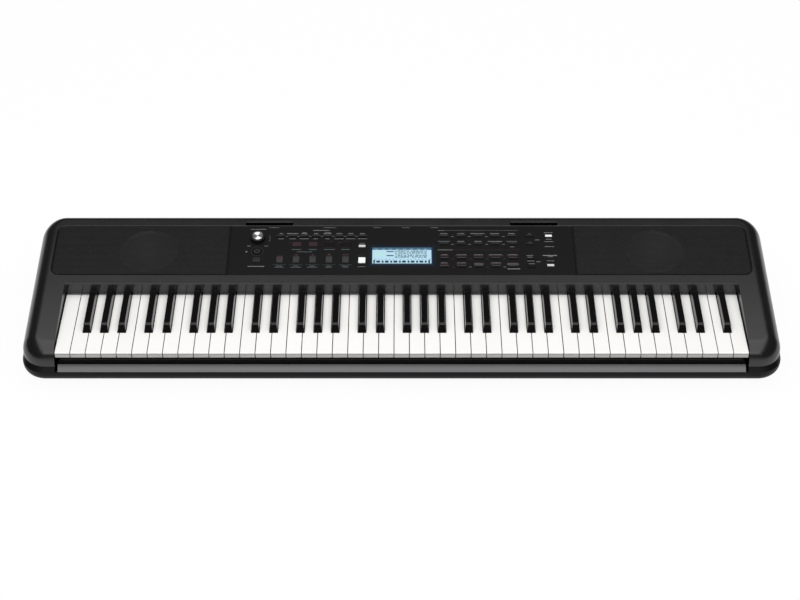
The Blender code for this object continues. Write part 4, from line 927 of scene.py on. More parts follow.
def brushed_steel(name, colour, roughness):
    """Plated steel with rolling marks."""
    steel = Finish(bpy.data.materials.new(name))
    marks = steel.noise(0.002, 5)
    return steel.surface({
        "Base Color": steel.shades(marks, colour, 0.85, 1.1), "Metallic": 0.9,
        "Roughness": roughness + 0.2 * (marks - 0.5), "Normal": steel.bump(marks, 0.00001, 0.4)})


def refinish(finish, *nodes):
    """A better finish on CAD nodes whose shape is already right."""
    for node in nodes:
        for holder in frame["nodes"][node].material_slots:
            holder.material = finish


cone_finish = paper_pulp("cone_pulp", (0.045, 0.045, 0.046))
for side, u in (("left", -speaker_u), ("right", speaker_u)):
    seat = deck @ Matrix.Translation((u, speaker_v, -CASE_WALL - SEAT_GAP))
    fit(f"driver_cone_{side}", blocks(turned(cone_profile(), seat)), cone_finish, "cone_paper",
        "instrument", f"speaker_cone_{side}")
refinish(brushed_steel("basket_steel_plated", (0.20, 0.20, 0.21), 0.4), "speaker_frame_left",
         "speaker_frame_right")


# Control panel
# A thin plate of matt black plastic let flush into the deck between the grilles. A plug behind it
# centres it in the case, and every button, the knob and the display reach through it.

PLUG_THICK = 0.0017
CAP_GAP = 0.0003
CAP_ROUND = 0.0006
HOLE_EDGE = 0.00018
BOARD_DROP = 0.0083
POST_RADIUS = 0.0028
POST_INSET = (0.017, 0.013)
BUSH_RADIUS = 0.0045
SLIM_V = (0.1055, 0.0878, 0.0553, 0.0372)
SLIM_CAP = (0.0135, 0.0032)
MODE_U, MODE_PITCH, MODE_COUNT = -0.194, 0.01874, 8
ICON_U, ICON_PITCH, ICON_COUNT, ICON_V, ICON_CAP = -0.168, 0.0262, 4, 0.0878, (0.014, 0.009)
TRANSPORT_U, TRANSPORT_COUNT, TRANSPORT_V, TRANSPORT_CAP = -0.1942, 5, 0.0535, (0.0105, 0.0135)
VOICE_U, VOICE_PITCH, VOICE_COUNT = 0.068, 0.0273, 5
STEP_U = 0.206
START_U, START_V, START_CAP = -0.0633, 0.052, (0.0110, 0.0122)
TEMPO_V, TEMPO_CAP = 0.0838, (0.0110, 0.0046)
WHITE_U, WHITE_CAP = 0.2365, (0.0108, 0.0042)
UPPER_WHITE_V, LOWER_WHITE_V = 0.107, 0.041
KNOB_U, KNOB_V = -0.231, 0.1006
POWER_V, POWER_RADIUS = 0.072, 0.007
SQUARE_V, SQUARE_CAP = 0.0527, (0.0125, 0.0100)
WINDOW_U, WINDOW_V, WINDOW_SIZE = 0.001, 0.062, (0.098, 0.039)
WINDOW_THICK = 0.0010
WINDOW_LEDGE = 0.0015


def eased(outline, low, high, radius, place=None, steps=3):
    """Rings of an upright block whose top edge is rounded."""
    rings = [level(outline, low, place)]
    for step in range(steps + 1):
        turn = math.radians(90) * step / steps
        rings.append(level(inset(outline, radius * (1 - math.cos(turn))),
                           high - radius * (1 - math.sin(turn)), place))
    return rings


def cap_row(u, pitch, count, rows, size):
    """Outlines of the caps in even columns on one or more rows."""
    width, height = size
    return [rectangle(u + pitch * i - width / 2, v - height / 2, u + pitch * i + width / 2, v + height / 2,
                      CAP_ROUND, 3) for v in rows for i in range(count)]


cap_sets = {
    "mode_buttons": cap_row(MODE_U, MODE_PITCH, MODE_COUNT, SLIM_V[:1], SLIM_CAP),
    "icon_buttons": cap_row(ICON_U, ICON_PITCH, ICON_COUNT, (ICON_V,), ICON_CAP),
    "transport_buttons": cap_row(TRANSPORT_U, ICON_PITCH, TRANSPORT_COUNT, (TRANSPORT_V,), TRANSPORT_CAP),
    "tempo_button": cap_row(START_U, 0, 1, (TEMPO_V,), TEMPO_CAP),
    "start_button": cap_row(START_U, 0, 1, (START_V,), START_CAP),
    "voice_buttons": cap_row(VOICE_U, VOICE_PITCH, VOICE_COUNT, SLIM_V[:2], SLIM_CAP),
    "rhythm_buttons": cap_row(VOICE_U, VOICE_PITCH, VOICE_COUNT, SLIM_V[2:], SLIM_CAP),
    "step_buttons": cap_row(STEP_U, 0, 1, SLIM_V, SLIM_CAP),
    "upper_white_button": cap_row(WHITE_U, 0, 1, (UPPER_WHITE_V,), WHITE_CAP),
    "lower_white_button": cap_row(WHITE_U, 0, 1, (LOWER_WHITE_V,), WHITE_CAP),
    "power_button": [circle(KNOB_U, POWER_V, POWER_RADIUS, 48)],
    "square_button": cap_row(KNOB_U, 0, 1, (SQUARE_V,), SQUARE_CAP),
}
window = cap_row(WINDOW_U, 0, 1, (WINDOW_V,), WINDOW_SIZE)[0]
panel_back = -PLATE_THICK - PLUG_THICK
panel_low, panel_high = plate_v[0] + PLATE_SEAM, plate_v[1] - PLATE_SEAM
plate_outline = rectangle(-PANEL_HALF, panel_low, PANEL_HALF, panel_high)
plate = blocks(eased(plate_outline, -PLATE_THICK, 0, SEAT_GAP, deck))
plug_side = PANEL_LEDGE + PLATE_SEAM
plate = carve(plate, blocks(upright(rectangle(
    -PANEL_HALF + plug_side, plate_v[0] + plug_side, PANEL_HALF - plug_side, plate_v[1] - plug_side),
    panel_back, -PLATE_THICK / 2, deck)), "UNION")
post_u = PANEL_HALF - POST_INSET[0]
post_v = (plate_v[0] + POST_INSET[1], plate_v[1] - POST_INSET[1])
plate = carve(plate, blocks(*[upright(circle(side * post_u, v, POST_RADIUS, 16), SEAT_GAP - BOARD_DROP,
                                      -PLATE_THICK, deck) for side in (-1, 0, 1) for v in post_v]), "UNION")
holes = [hole for caps in cap_sets.values() for hole in caps] + [circle(KNOB_U, KNOB_V, BUSH_RADIUS)]
mouths = []
sight_size = [size - 2 * WINDOW_LEDGE for size in WINDOW_SIZE]
for hole in holes + cap_row(WINDOW_U, 0, 1, (WINDOW_V,), sight_size):
    grown = inset(hole, -CAP_GAP)
    mouths.append([level(grown, 2 * panel_back, deck), level(grown, -HOLE_EDGE, deck),
                   level(inset(grown, -2 * HOLE_EDGE), HOLE_EDGE, deck)])
plate = carve(plate, blocks(*mouths))
plate = carve(plate, blocks(upright(inset(window, -SEAT_GAP), -WINDOW_THICK - SEAT_GAP, PLATE_THICK, deck)))
panel_finish = moulded("panel_matt", (0.0060, 0.0060, 0.0065), 0.50, 0.0005, 0.000015, specular=0.12)
fit("panel_plate", plate, panel_finish, "panel_plastic", "instrument", "control_panel")


# Buttons
# Caps of hard plastic with eased edges, each set on its own springy web behind the panel. The
# slim ones are black, the tall ones grey, dull red or black, and four stand out in white.

WEB_THICK = 0.0012
WEB_MARGIN = 0.003
CAP_PROUD = 0.0008
CAP_EASE = 0.00035

slim_finish = moulded("slim_cap_black", (0.003, 0.003, 0.0033), 0.45, 0.0004, 0.000005, specular=0.15)
grey_finish = moulded("tall_cap_grey", (0.036, 0.034, 0.035), 0.42, 0.0004, 0.000008, specular=0.2)
rosy_finish = moulded("icon_cap_rosy", (0.042, 0.019, 0.023), 0.42, 0.0004, 0.000008, specular=0.15)
square_finish = moulded("square_cap_grey", (0.020, 0.020, 0.021), 0.42, 0.0004, 0.000008, specular=0.2)
pale_finish = moulded("pale_cap_white", (0.86, 0.87, 0.87), 0.30, 0.0004, 0.000004)
dull_finish = moulded("dull_cap_white", (0.58, 0.59, 0.60), 0.35, 0.0004, 0.000004)
cap_looks = {
    "icon_buttons": ((rosy_finish, slim_finish), "grey_button"),
    "transport_buttons": (grey_finish, "grey_button"),
    "square_button": (square_finish, "grey_button"),
    "tempo_button": (dull_finish, "white_button"),
    "start_button": (pale_finish, "white_button"),
    "upper_white_button": (pale_finish, "white_button"),
    "lower_white_button": (dull_finish, "white_button"),
}
web_top = panel_back - SEAT_GAP
for name, caps in cap_sets.items():
    us, vs = zip(*[point for cap in caps for point in cap])
    web_outline = inset(rectangle(min(us), min(vs), max(us), max(vs)), -WEB_MARGIN)
    web = upright(web_outline, web_top - WEB_THICK, web_top, deck)
    bm = blocks(web, *[eased(cap, web_top - WEB_THICK / 2, CAP_PROUD, CAP_EASE, deck) for cap in caps])
    if name == "icon_buttons":
        dark_side = ICON_U + 1.5 * ICON_PITCH
        for face in bm.faces:
            face.material_index = int(face.calc_center_median().x > dark_side)
    fit(name.replace("button", "cap"), bm, *cap_looks.get(name, (slim_finish, "dark_button")), name, name)


# Volume knob
# A turned knob of gloss black plastic with a spun metal face. Fine concentric grooves in the face
# catch the light in two bright fans. It turns on a potentiometer clamped behind the panel.

KNOB_RADIUS = 0.012
KNOB_TOP_RADIUS = 0.0113
KNOB_HEIGHT = 0.007
KNOB_LIFT = 0.0006
KNOB_EASE = 0.0006
SHAFT_RADIUS = 0.003
SHAFT_FOOT = -0.0065
GROOVE_PITCH = 0.0004
GROOVE_DEPTH = 0.00014
SPUN_RADIUS = 0.0082

knob_place = deck @ Matrix.Translation((KNOB_U, KNOB_V, 0))
face_radius = KNOB_TOP_RADIUS - KNOB_EASE
knob_profile = [(SHAFT_RADIUS, SHAFT_FOOT), (SHAFT_RADIUS, KNOB_LIFT),
                (KNOB_RADIUS - KNOB_EASE / 2, KNOB_LIFT), (KNOB_RADIUS, KNOB_LIFT + KNOB_EASE / 2)]
knob_profile += [(face_radius + r, KNOB_HEIGHT - KNOB_EASE + z) for r, z in arc((0, 0), KNOB_EASE, 0, 4)]
for groove in range(int(SPUN_RADIUS / GROOVE_PITCH) - 1):
    radius = SPUN_RADIUS - groove * GROOVE_PITCH
    knob_profile += [(radius + GROOVE_PITCH / 2, KNOB_HEIGHT - GROOVE_DEPTH), (radius, KNOB_HEIGHT)]
gloss_black = moulded("knob_gloss_black", (0.006, 0.006, 0.006), 0.14, 0.0004, 0.000002, specular=0.8)
knob = blocks(turned(knob_profile, knob_place, 96))
spun_edge = SPUN_RADIUS + GROOVE_PITCH
for face in knob.faces:
    corners = [knob_place.inverted() @ vert.co for vert in face.verts]
    face.material_index = int(all(spot.z > KNOB_HEIGHT - KNOB_EASE / 4 and spot.xy.length < spun_edge
                                  for spot in corners))
spun_face = brushed_steel("knob_spun_face", (0.72, 0.72, 0.72), 0.05)
fit("knob_turned", knob, (gloss_black, spun_face), "knob_plastic", "volume_knob", "volume_knob")
refinish(brushed_steel("pot_can_plated", (0.60, 0.60, 0.58), 0.3), "volume_potentiometer")


# Display
# A clear window flush with the panel, dark blue round its edge. Behind it the liquid crystal
# shows dark figures on a pale blue field, under a two-tone strip and over a row of small keys.

FIELD_MARGIN = 0.0013
SURROUND = 0.0042
STRIP_HEIGHT = 0.0048
INK = 0.00004
WINDOW_EASE = 0.0002
FIGURE_ROWS = (0.0703, 0.0612)
FIGURE_SIZE = (0.0033, 0.0070)
FIGURE_PITCH = 0.0047
FIGURE_COUNT = 11
FIGURE_U = -0.0112
FIGURE_STROKE = 0.00085
FIGURE_LEAN = 0.14
FIGURE_LIT = 0.78
ROW_MARK_U, ROW_MARK_RISE = (-0.0240, -0.0127), (0.0002, 0.0022)
TINT_U, TINT_V = (-0.0435, -0.0260), (0.0610, 0.0715)
TICK_V, TICK_PITCH, TICK_COUNT, TICK_WIDTHS = (0.0540, 0.0547), 0.0058, 16, (0.0012, 0.0036)
TICK_INSET, STRIP_MARK_INSET = 0.003, 0.004
SMALL_KEY_U, SMALL_KEY_PITCH, SMALL_KEY_PAIRS = -0.0373, 0.0137, 6
SMALL_KEY_SHIFT, SMALL_KEY_HALVES = 0.0071, (0.00295, 0.0015)
SMALL_KEY_V = (0.0468, 0.0513)
END_MARK_U, END_MARK_WIDTH, END_MARK_V = (-0.0450, 0.0424), 0.0026, (0.0455, 0.0530)
STRIP_MARK_PITCH, STRIP_MARK_COUNT, STRIP_MARK_WIDTH = 0.0112, 8, 0.005
STRIP_MARK_RISE = (0.0010, 0.0017)
LCD_SEED = 5


def patch(us, vs):
    """A rectangle between two places across the deck and two along it."""
    return rectangle(us[0], vs[0], us[1], vs[1])


def segments(u, v, lit):
    """Strokes of one seven-bar figure whose lower left corner is at (u, v)."""
    width, height = FIGURE_SIZE
    half, stroke = height / 2, FIGURE_STROKE
    bars = [(0, 0, width, stroke), (0, half - stroke / 2, width, half + stroke / 2),
            (0, height - stroke, width, height), (0, 0, stroke, half), (0, half, stroke, height),
            (width - stroke, 0, width, half), (width - stroke, half, width, height)]
    return [[(u + x + FIGURE_LEAN * y, v + y) for x, y in rectangle(*bar)]
            for keep, bar in zip(lit, bars) if keep]


def flat_print(name, outlines, finish, slot, body="instrument", lift=0.0, base=0.0):
    """Ink outlines printed on a surface of the deck."""
    sheets = blocks(*[upright(outline, base, base + lift + INK, deck) for outline in outlines])
    return fit(name, sheets, finish, slot, body)


def ink(name, colour, roughness=0.4, specular=0.2):
    """Screen-printed ink, a little uneven where the mesh let less of it through."""
    layer = Finish(bpy.data.materials.new(name))
    patches = layer.noise(0.0009, 3)
    return layer.surface({
        "Base Color": layer.shades(patches, colour, 0.85, 1.1), "Roughness": roughness + 0.1 * patches,
        "Specular IOR Level": specular, "Normal": layer.bump(patches, 0.000004, 0.3)})


def clear_gloss(name, colour, clouds):
    """Coloured print behind a polished clear window."""
    pane = Finish(bpy.data.materials.new(name))
    shade = pane.noise(0.03, 2)
    return pane.surface({
        "Base Color": pane.shades(shade, colour, 1 - clouds, 1 + clouds), "Roughness": 0.06 + 0.03 * shade,
        "Normal": pane.bump(pane.noise(0.01, 2), 0.000004, 0.4)})


random.seed(LCD_SEED)
border_finish = clear_gloss("window_border_blue", (0.020, 0.036, 0.060), 0.1)
fit("window_pane", blocks(eased(window, -WINDOW_THICK, 0, WINDOW_EASE, deck)), border_finish,
    "window_plastic", "instrument", "display_window")
half_u, half_v = (size / 2 for size in WINDOW_SIZE)
left, right = WINDOW_U - half_u + FIELD_MARGIN, WINDOW_U + half_u - 2 * FIELD_MARGIN
low, high = WINDOW_V - half_v + 2 * FIELD_MARGIN, WINDOW_V + half_v - FIELD_MARGIN
strip_v = high - STRIP_HEIGHT
strip_middle = (strip_v + high) / 2
for name, us, vs, look, colour, clouds, lift in (
        ("lcd_field", (left, right), (low, strip_v), "lcd_field_blue", (0.45, 0.67, 0.79), 0.04, 0),
        ("lcd_strip", (left, right), (strip_middle, high), "lcd_strip_blue", (0.080, 0.170, 0.240), 0.05, 0),
        ("lcd_strip_navy", (left, right), (strip_v, strip_middle), "lcd_strip_navy",
         (0.022, 0.060, 0.120), 0.05, 0),
        ("lcd_tint", TINT_U, TINT_V, "lcd_tint_green", (0.45, 0.70, 0.73), 0.03, INK)):
    flat_print(name, [patch(us, vs)], clear_gloss(look, colour, clouds), "display_glass", lift=lift)
figures = []
for row_v in FIGURE_ROWS:
    for count in range(FIGURE_COUNT):
        lit = [random.random() < FIGURE_LIT for _ in range(7)]
        figures += segments(FIGURE_U + count * FIGURE_PITCH, row_v - FIGURE_SIZE[1] / 2, lit)
    figures.append(patch(ROW_MARK_U, [row_v + rise for rise in ROW_MARK_RISE]))
for count in range(TICK_COUNT):
    u = left + TICK_INSET + count * TICK_PITCH
    figures.append(patch((u, u + random.uniform(*TICK_WIDTHS)), TICK_V))
for pair in range(SMALL_KEY_PAIRS):
    for rank, half in enumerate(SMALL_KEY_HALVES):
        middle = SMALL_KEY_U + rank * SMALL_KEY_SHIFT + pair * SMALL_KEY_PITCH
        figures.append(patch((middle - half, middle + half), SMALL_KEY_V))
figures += [patch((u, u + END_MARK_WIDTH), END_MARK_V) for u in END_MARK_U]
flat_print("lcd_figures", figures, ink("lcd_figure_dark", (0.020, 0.050, 0.085), 0.12), "display_glass",
           lift=2 * INK)
marks = []
for count in range(STRIP_MARK_COUNT):
    u = left + STRIP_MARK_INSET + STRIP_MARK_PITCH * count
    marks.append(patch((u, u + STRIP_MARK_WIDTH), [strip_v + rise for rise in STRIP_MARK_RISE]))
flat_print("lcd_strip_marks", marks, ink("lcd_mark_pale", (0.35, 0.60, 0.72), 0.12), "display_glass",
           lift=INK)
half_u, half_v = half_u + SEAT_GAP, half_v + SEAT_GAP
surround = []
for side in (-1, 1):
    us = sorted(WINDOW_U + side * reach for reach in (half_u, half_u + SURROUND))
    vs = sorted(WINDOW_V + side * reach for reach in (half_v, half_v + SURROUND))
    surround.append(patch((WINDOW_U - half_u - SURROUND, WINDOW_U + half_u + SURROUND), vs))
    surround.append(patch(us, (WINDOW_V - half_v, WINDOW_V + half_v)))
flat_print("window_surround", surround, ink("ink_navy", (0.0065, 0.0110, 0.0180), 0.5, 0.12), "panel_plastic")


# Panel print
# Screen-printed marks on the panel in grey, grey-green and dull red inks. They stand for the
# panel's small print as rows of plain blocks, so nothing on it is a word.

LETTER_HEIGHT = 0.0014
UNDER_HEIGHT = 0.0013
SMALL_HEIGHT = 0.0012
HEADING_HEIGHT = 0.0017
LETTER_WIDTH = 0.0010
LETTER_GAP = 0.00035
LINE = 0.0003
PRINT_SEED = 11
RING_POINTS = 18
KNOB_WORDS = ((KNOB_U, 0.1219, 0.025), (-0.2444, 0.0839, 0.0055), (-0.2164, 0.0839, 0.0062))
KNOB_ARC = (0.1009, 0.0195, -22, 22)
HEADINGS = ((KNOB_U, 0.0386, 0.026), (-0.1299, 0.1194, 0.026))
TOP_WORDS = ((-0.2059, 0.017), (-0.1160, 0.020), (-0.0392, 0.012), (0.0067, 0.012), (0.0532, 0.012))
TOP_V, TOP_HEIGHT = 0.1257, 0.0009
CAP_RULE = 0.0070
MODE_WORDS = ((0.005, 0.009), (0.019, 0.011), (0.009, 0.0145), (0.0065, 0.008), (0.013, 0.0075),
              (0.009, 0.0145), (0.008, 0.0145), (0.0075, 0.0145))
MODE_WORDS_V, MODE_HEIGHT = (0.1121, 0.1003, 0.1146), 0.0018
MODE_RULE_V, MODE_DASH_V, MODE_DASH = 0.1086, 0.1060, (0.0018, 0.0007)
SLIM_WORDS = ((0.011, 0.011, 0.0225, 0.0145, 0.010), (0.019, 0.011, 0.011, 0.0225, 0.0175),
              (0.013, 0.019, 0.0175, 0.0255, 0.019), (0.013, 0.0175, 0.0145, 0.019, 0.019))
SLIM_RULE_RISE, SLIM_WORDS_RISE, SLIM_DASH = 0.0031, (0.0066, 0.0092), (0.0022, 0.0008)
STEP_WORDS = ((0.2045, 0.0627, 0.0105), (0.2055, 0.0506, 0.011), (0.2067, 0.0444, 0.0095),
              (0.2175, 0.0489, 0.0065), (0.2180, 0.0978, 0.0070), (0.2045, 0.0590, 0.008))
STEP_ARROWS_V = (0.1122, 0.0935)
STEP_ARROW = ((-0.0008, -0.0006), (0.0008, -0.0006), (0, 0.0010))
STEP_RULE = (0.0028, 0.0055, 0.0045)
WHITE_WORDS = ((0.1142, 0.014), (0.0993, 0.009), (0.0939, 0.0145), (0.0827, 0.0145), (0.0600, 0.008),
               (0.0510, 0.011))
ICON_WORDS, ICON_WORDS_V = (0.015, 0.013, 0.017, 0.013), 0.0762
ICON_RULES = ((-0.0062, -0.0065, 0.0060, 0.0005), (0.0066, -0.0050, 0.0065, 0.0004))
TRANSPORT_WORDS = ((0.008, 0.014), (0.008, 0.016), (0.008, 0.0155), (0.0075, 0.0105), (0.012, 0.008))
TRANSPORT_WORDS_V = (0.0395, 0.0368)
TRANSPORT_RULES = (("teal", 0.0425, 0.0105, 0.00025), ("red", 0.0627, 0.0050, 0.0004))
ARROWS = ((1, ((-2.2, 3.3), (0, 0.3), (2.2, 3.3))), (2, ((-1.8, 0.3), (1.8, 0.3), (0, 3.5))),
          (3, ((-3.0, 3.5), (0, 0.3), (3.0, 3.5))))
ARROW_V = 0.0627
POWER_RING = 0.0098

random.seed(PRINT_SEED)
prints = {"grey": [], "teal": [], "red": [], "bright": []}


def words(colour, height, *spots):
    """Rows of blocks in one ink, centred on each (u, v) and so wide, that read as small print from afar."""
    for u, v, width in spots:
        start, end = u - width / 2, u + width / 2
        while start < end - LETTER_GAP:
            stop = min(end, start + LETTER_WIDTH * random.uniform(0.7, 1.25))
            top = v + height / 2 * random.choice((1, 1, 0.7))
            prints[colour].append(patch((start, stop), (v - height / 2, top)))
            start = stop + LETTER_GAP * random.uniform(0.8, 1.3)


def rule(colour, v, start, end, thick=LINE):
    """A thin printed line across the deck."""
    prints[colour].append(patch((start, end), (v - thick / 2, v + thick / 2)))


def ring_line(u, v, radius, start, end, thick=LINE):
    """A thin printed arc, from start to end degrees."""
    turns = [math.radians(start + (end - start) * i / RING_POINTS) for i in range(RING_POINTS + 1)]
    outer, inner = ([(u + r * math.cos(turn), v + r * math.sin(turn)) for turn in turns]
                    for r in (radius + thick / 2, radius - thick / 2))
    return [outer + inner[::-1]]


icon_us = [ICON_U + ICON_PITCH * i for i in range(ICON_COUNT)]
transport_us = [TRANSPORT_U + ICON_PITCH * i for i in range(TRANSPORT_COUNT)]
voice_us = [VOICE_U + VOICE_PITCH * i for i in range(VOICE_COUNT)]
words("grey", LETTER_HEIGHT, *KNOB_WORDS)
prints["grey"] += ring_line(KNOB_U, *KNOB_ARC)
words("grey", HEADING_HEIGHT, *HEADINGS)
words("grey", TOP_HEIGHT, *[(u, TOP_V, width) for u, width in TOP_WORDS])
for i, (upper, lower) in enumerate(MODE_WORDS):
    u = MODE_U + MODE_PITCH * i
    words("grey", MODE_HEIGHT, (u, MODE_WORDS_V[0], upper))
    words("grey", UNDER_HEIGHT, (u, MODE_WORDS_V[1], lower))
    rule("grey", MODE_RULE_V, u - CAP_RULE, u + CAP_RULE)
    if i in (2, 4):
        words("grey", UNDER_HEIGHT, (u, MODE_WORDS_V[2], upper * 0.7))
    if i:
        between = u - MODE_PITCH / 2
        rule("grey", MODE_DASH_V, between - MODE_DASH[0], between + MODE_DASH[0], MODE_DASH[1])
for row, v in enumerate(SLIM_V):
    for i, (u, width) in enumerate(zip(voice_us, SLIM_WORDS[row])):
        rosy = row == 2 or (row == 3 and i in (0, 1, 3))
        colour = "red" if rosy else "teal" if row == 1 and i in (0, 4) else "grey"
        rule("grey", v + SLIM_RULE_RISE, u - CAP_RULE, u + CAP_RULE)
        words(colour, HEADING_HEIGHT, (u, v + SLIM_WORDS_RISE[0], width))
        if row >= 2:
            words("grey" if rosy else "red", SMALL_HEIGHT, (u, v + SLIM_WORDS_RISE[1], width * 0.8))
        if i:
            between = u - VOICE_PITCH / 2
            rule("red" if rosy else "grey", v, between - SLIM_DASH[0], between + SLIM_DASH[0], SLIM_DASH[1])
words("grey", UNDER_HEIGHT, (0.0640, 0.1193, 0.010))
words("grey", 0.0015, (0.0697, 0.0753, 0.024))
words("grey", SMALL_HEIGHT, (voice_us[-1], 0.0822, 0.007))
words("grey", LETTER_HEIGHT, *STEP_WORDS, *[(WHITE_U, v, width) for v, width in WHITE_WORDS])
for v in STEP_ARROWS_V:
    prints["grey"].append([(STEP_U + a, v + b) for a, b in STEP_ARROW])
    rule("grey", v - STEP_RULE[0], STEP_U - STEP_RULE[1], STEP_U + STEP_RULE[2])
words("bright", 0.0015, (WHITE_U, 0.0627, 0.0225))
words("teal", LETTER_HEIGHT, *[(u, ICON_WORDS_V, width) for u, width in zip(icon_us, ICON_WORDS)])
words("teal", SMALL_HEIGHT, (ICON_U + 0.5 * ICON_PITCH, 0.0709, 0.024))
for u in icon_us[2:]:
    for rise, near, far, thick in ICON_RULES:
        rule("red", ICON_V + rise, u + near, u + far, thick)
for u, widths in zip(transport_us, TRANSPORT_WORDS):
    for height, v, width in zip((UNDER_HEIGHT, LETTER_HEIGHT), TRANSPORT_WORDS_V, widths):
        words("teal", height, (u, v, width))
    for colour, v, half, thick in TRANSPORT_RULES:
        rule(colour, v, u - half, u + half, thick)
prints["red"] += [[(transport_us[i] + a / 1000, ARROW_V + b / 1000) for a, b in arrow] for i, arrow in ARROWS]
words("grey", SMALL_HEIGHT, (START_U, 0.0378, 0.012), (START_U, 0.0900, 0.008))
for line in (("grey", 0.1193, 0.071, 0.188, LINE), ("red", 0.0753, 0.084, 0.188, 0.0004),
             ("bright", 0.0330, voice_us[-1] - 0.0095, voice_us[-1] + 0.0105, 0.0009),
             ("red", ICON_V + 0.0030, ICON_U - 0.0125, ICON_U - 0.0090, 0.0008),
             ("red", ICON_V + 0.0045, icon_us[-1] - 0.0125, icon_us[-1] - 0.0075, 0.0009),
             ("red", 0.0650, transport_us[-1] - 0.0050, transport_us[-1] + 0.0050, 0.0011),
             ("red", 0.0637, START_U - 0.0080, START_U + 0.0040, 0.0005)):
    rule(*line)
for name, colour in (("grey", (0.20, 0.20, 0.20)), ("teal", (0.105, 0.135, 0.140)),
                     ("red", (0.070, 0.028, 0.036)), ("bright", (0.34, 0.34, 0.34))):
    flat_print(f"print_{name}", prints[name], ink(f"ink_{name}", colour), "panel_plastic")
# Painted shade: black patches on the deck just in front of each music-rest slot, where the slot's shadow
# falls.
slot_shade_patches = [patch(ends, (plate_v[1] + SEAT_GAP, rest_v[0] - EDGE - SEAT_GAP / 3)) for ends in rest_slots]
flat_print("rest_slot_painted_shade", slot_shade_patches, ink("ink_black", (0.002, 0.002, 0.002), 0.6, 0.05), "case_plastic")
flat_print("print_power_ring", ring_line(KNOB_U, POWER_V, POWER_RING, 0, 359.9),
           ink("ink_ring", (0.050, 0.050, 0.052)), "panel_plastic")


# Symbols and lamps
# Plain symbols pad-printed on the tall caps and on the power button, and a small grey lamp lens
# beside it, set into the panel.

LENS_U, LENS_V, LENS_RADIUS, LENS_RISE = -0.248, 0.0712, 0.0016, 0.0005
CAP_ARROWS = ((1, ((-3, 5), (0, 1), (3, 5))), (2, ((-3, 1), (3, 1), (0, 5))),
              (3, ((-3, 5), (0, 1.5), (3, 5))))
BLOCK_SYMBOLS = ((0, 0.0035, (0.0005, 0.0048)), (4, 0.0040, (0.0028, 0.0042)))
DOT_PITCH, DOT_HALF = (0.0030, 0.0034), (0.0008, 0.0010)
POWER_ARC = (0.0040, -235, 55)
POWER_STROKE = 0.0009
POWER_BAR = (0.0006, 0.0048)

symbols = [[(transport_us[i] + a / 1000, TRANSPORT_V + b / 1000) for a, b in arrow]
           for i, arrow in CAP_ARROWS]
for i, half, rises in BLOCK_SYMBOLS:
    us = (transport_us[i] - half, transport_us[i] + half)
    symbols.append(patch(us, [TRANSPORT_V + rise for rise in rises]))
flat_print("transport_symbols", symbols, ink("symbol_red", (0.050, 0.024, 0.028)), "grey_button",
           "transport_buttons", base=CAP_PROUD)
dots = []
for i, column, row in ((i, column, row) for i in range(2) for column in range(4) for row in range(2)):
    u = icon_us[i] + (column - 1.5) * DOT_PITCH[0]
    v = ICON_V + (row - 0.5) * DOT_PITCH[1]
    dots.append(rectangle(u - DOT_HALF[0], v - DOT_HALF[1], u + DOT_HALF[0], v + DOT_HALF[1]))
flat_print("icon_symbols", dots, ink("symbol_dark", (0.014, 0.011, 0.012)), "grey_button", "icon_buttons",
           base=CAP_PROUD)
bar = patch((KNOB_U - POWER_STROKE / 2, KNOB_U + POWER_STROKE / 2), [POWER_V + rise for rise in POWER_BAR])
flat_print("power_symbol", ring_line(KNOB_U, POWER_V, *POWER_ARC, POWER_STROKE) + [bar],
           ink("symbol_grey", (0.060, 0.060, 0.062)), "dark_button", "power_button", base=CAP_PROUD)
lens_turns = [math.radians(t) for t in range(15, 90, 15)]
lens_profile = [(LENS_RADIUS, 0)]
lens_profile += [(LENS_RADIUS * math.cos(turn), LENS_RISE * math.sin(turn)) for turn in lens_turns]
fit("lamp_lens", blocks(turned(lens_profile, deck @ Matrix.Translation((LENS_U, LENS_V, 0)), 24)),
    clear_gloss("lens_grey", (0.16, 0.16, 0.16), 0.1), "panel_plastic", "instrument")


# Sockets and inner works
# The sockets are soldered to the main board and reach through the case's rear wall, each with a
# plated ring in its mouth. Boards, key bed and felt are out of sight unless the case is opened.

RING_WALL = 0.0008
RING_DEPTH = 0.0025
RING_BORES = {"phones_jack": 0.0032, "pedal_jack": 0.0032, "dc_inlet": 0.0028}
TRACK_SPACING = 180.0
TRACK_WIDTH = 0.45

ring_finish = brushed_steel("socket_ring_nickel", (0.55, 0.54, 0.52), 0.22)
for name, bore in RING_BORES.items():
    outer, inner = (circle(*socket_places[name], radius, 40) for radius in (bore + RING_WALL, bore))
    back, mouth = rear_wall_y - RING_DEPTH, rear_wall_y - SEAT_GAP / 2
    ring = carve(blocks(along_y(outer, back, mouth)), blocks(along_y(inner, back - EDGE, mouth + EDGE)))
    fit(f"{name}_ring", ring, ring_finish, "socket_plastic", "instrument")


def fibre_board(name, colour):
    """Solder-masked glass-fibre board, with its copper tracks as faint raised lines."""
    board = Finish(bpy.data.materials.new(name))
    tracks = board.node("ShaderNodeTexVoronoi", {"distance": "MANHATTAN"},
                        {"Vector": board.place(), "Scale": TRACK_SPACING})
    line = tracks > TRACK_WIDTH
    return board.surface({"Base Color": board.shades(line, colour, 1.0, 1.9), "Roughness": 0.35 + 0.1 * line,
                          "Normal": board.bump(line, 0.00004, 0.4)})


def wool_felt(name, colour):
    """Pressed wool: matted fibres in every direction."""
    felt = Finish(bpy.data.materials.new(name))
    mat = felt.noise(0.0008, 8)
    return felt.surface({"Base Color": felt.shades(mat, colour, 0.6, 1.6), "Roughness": 0.85 + 0.1 * mat,
                         "Normal": felt.bump(mat, 0.0003, 0.9)})


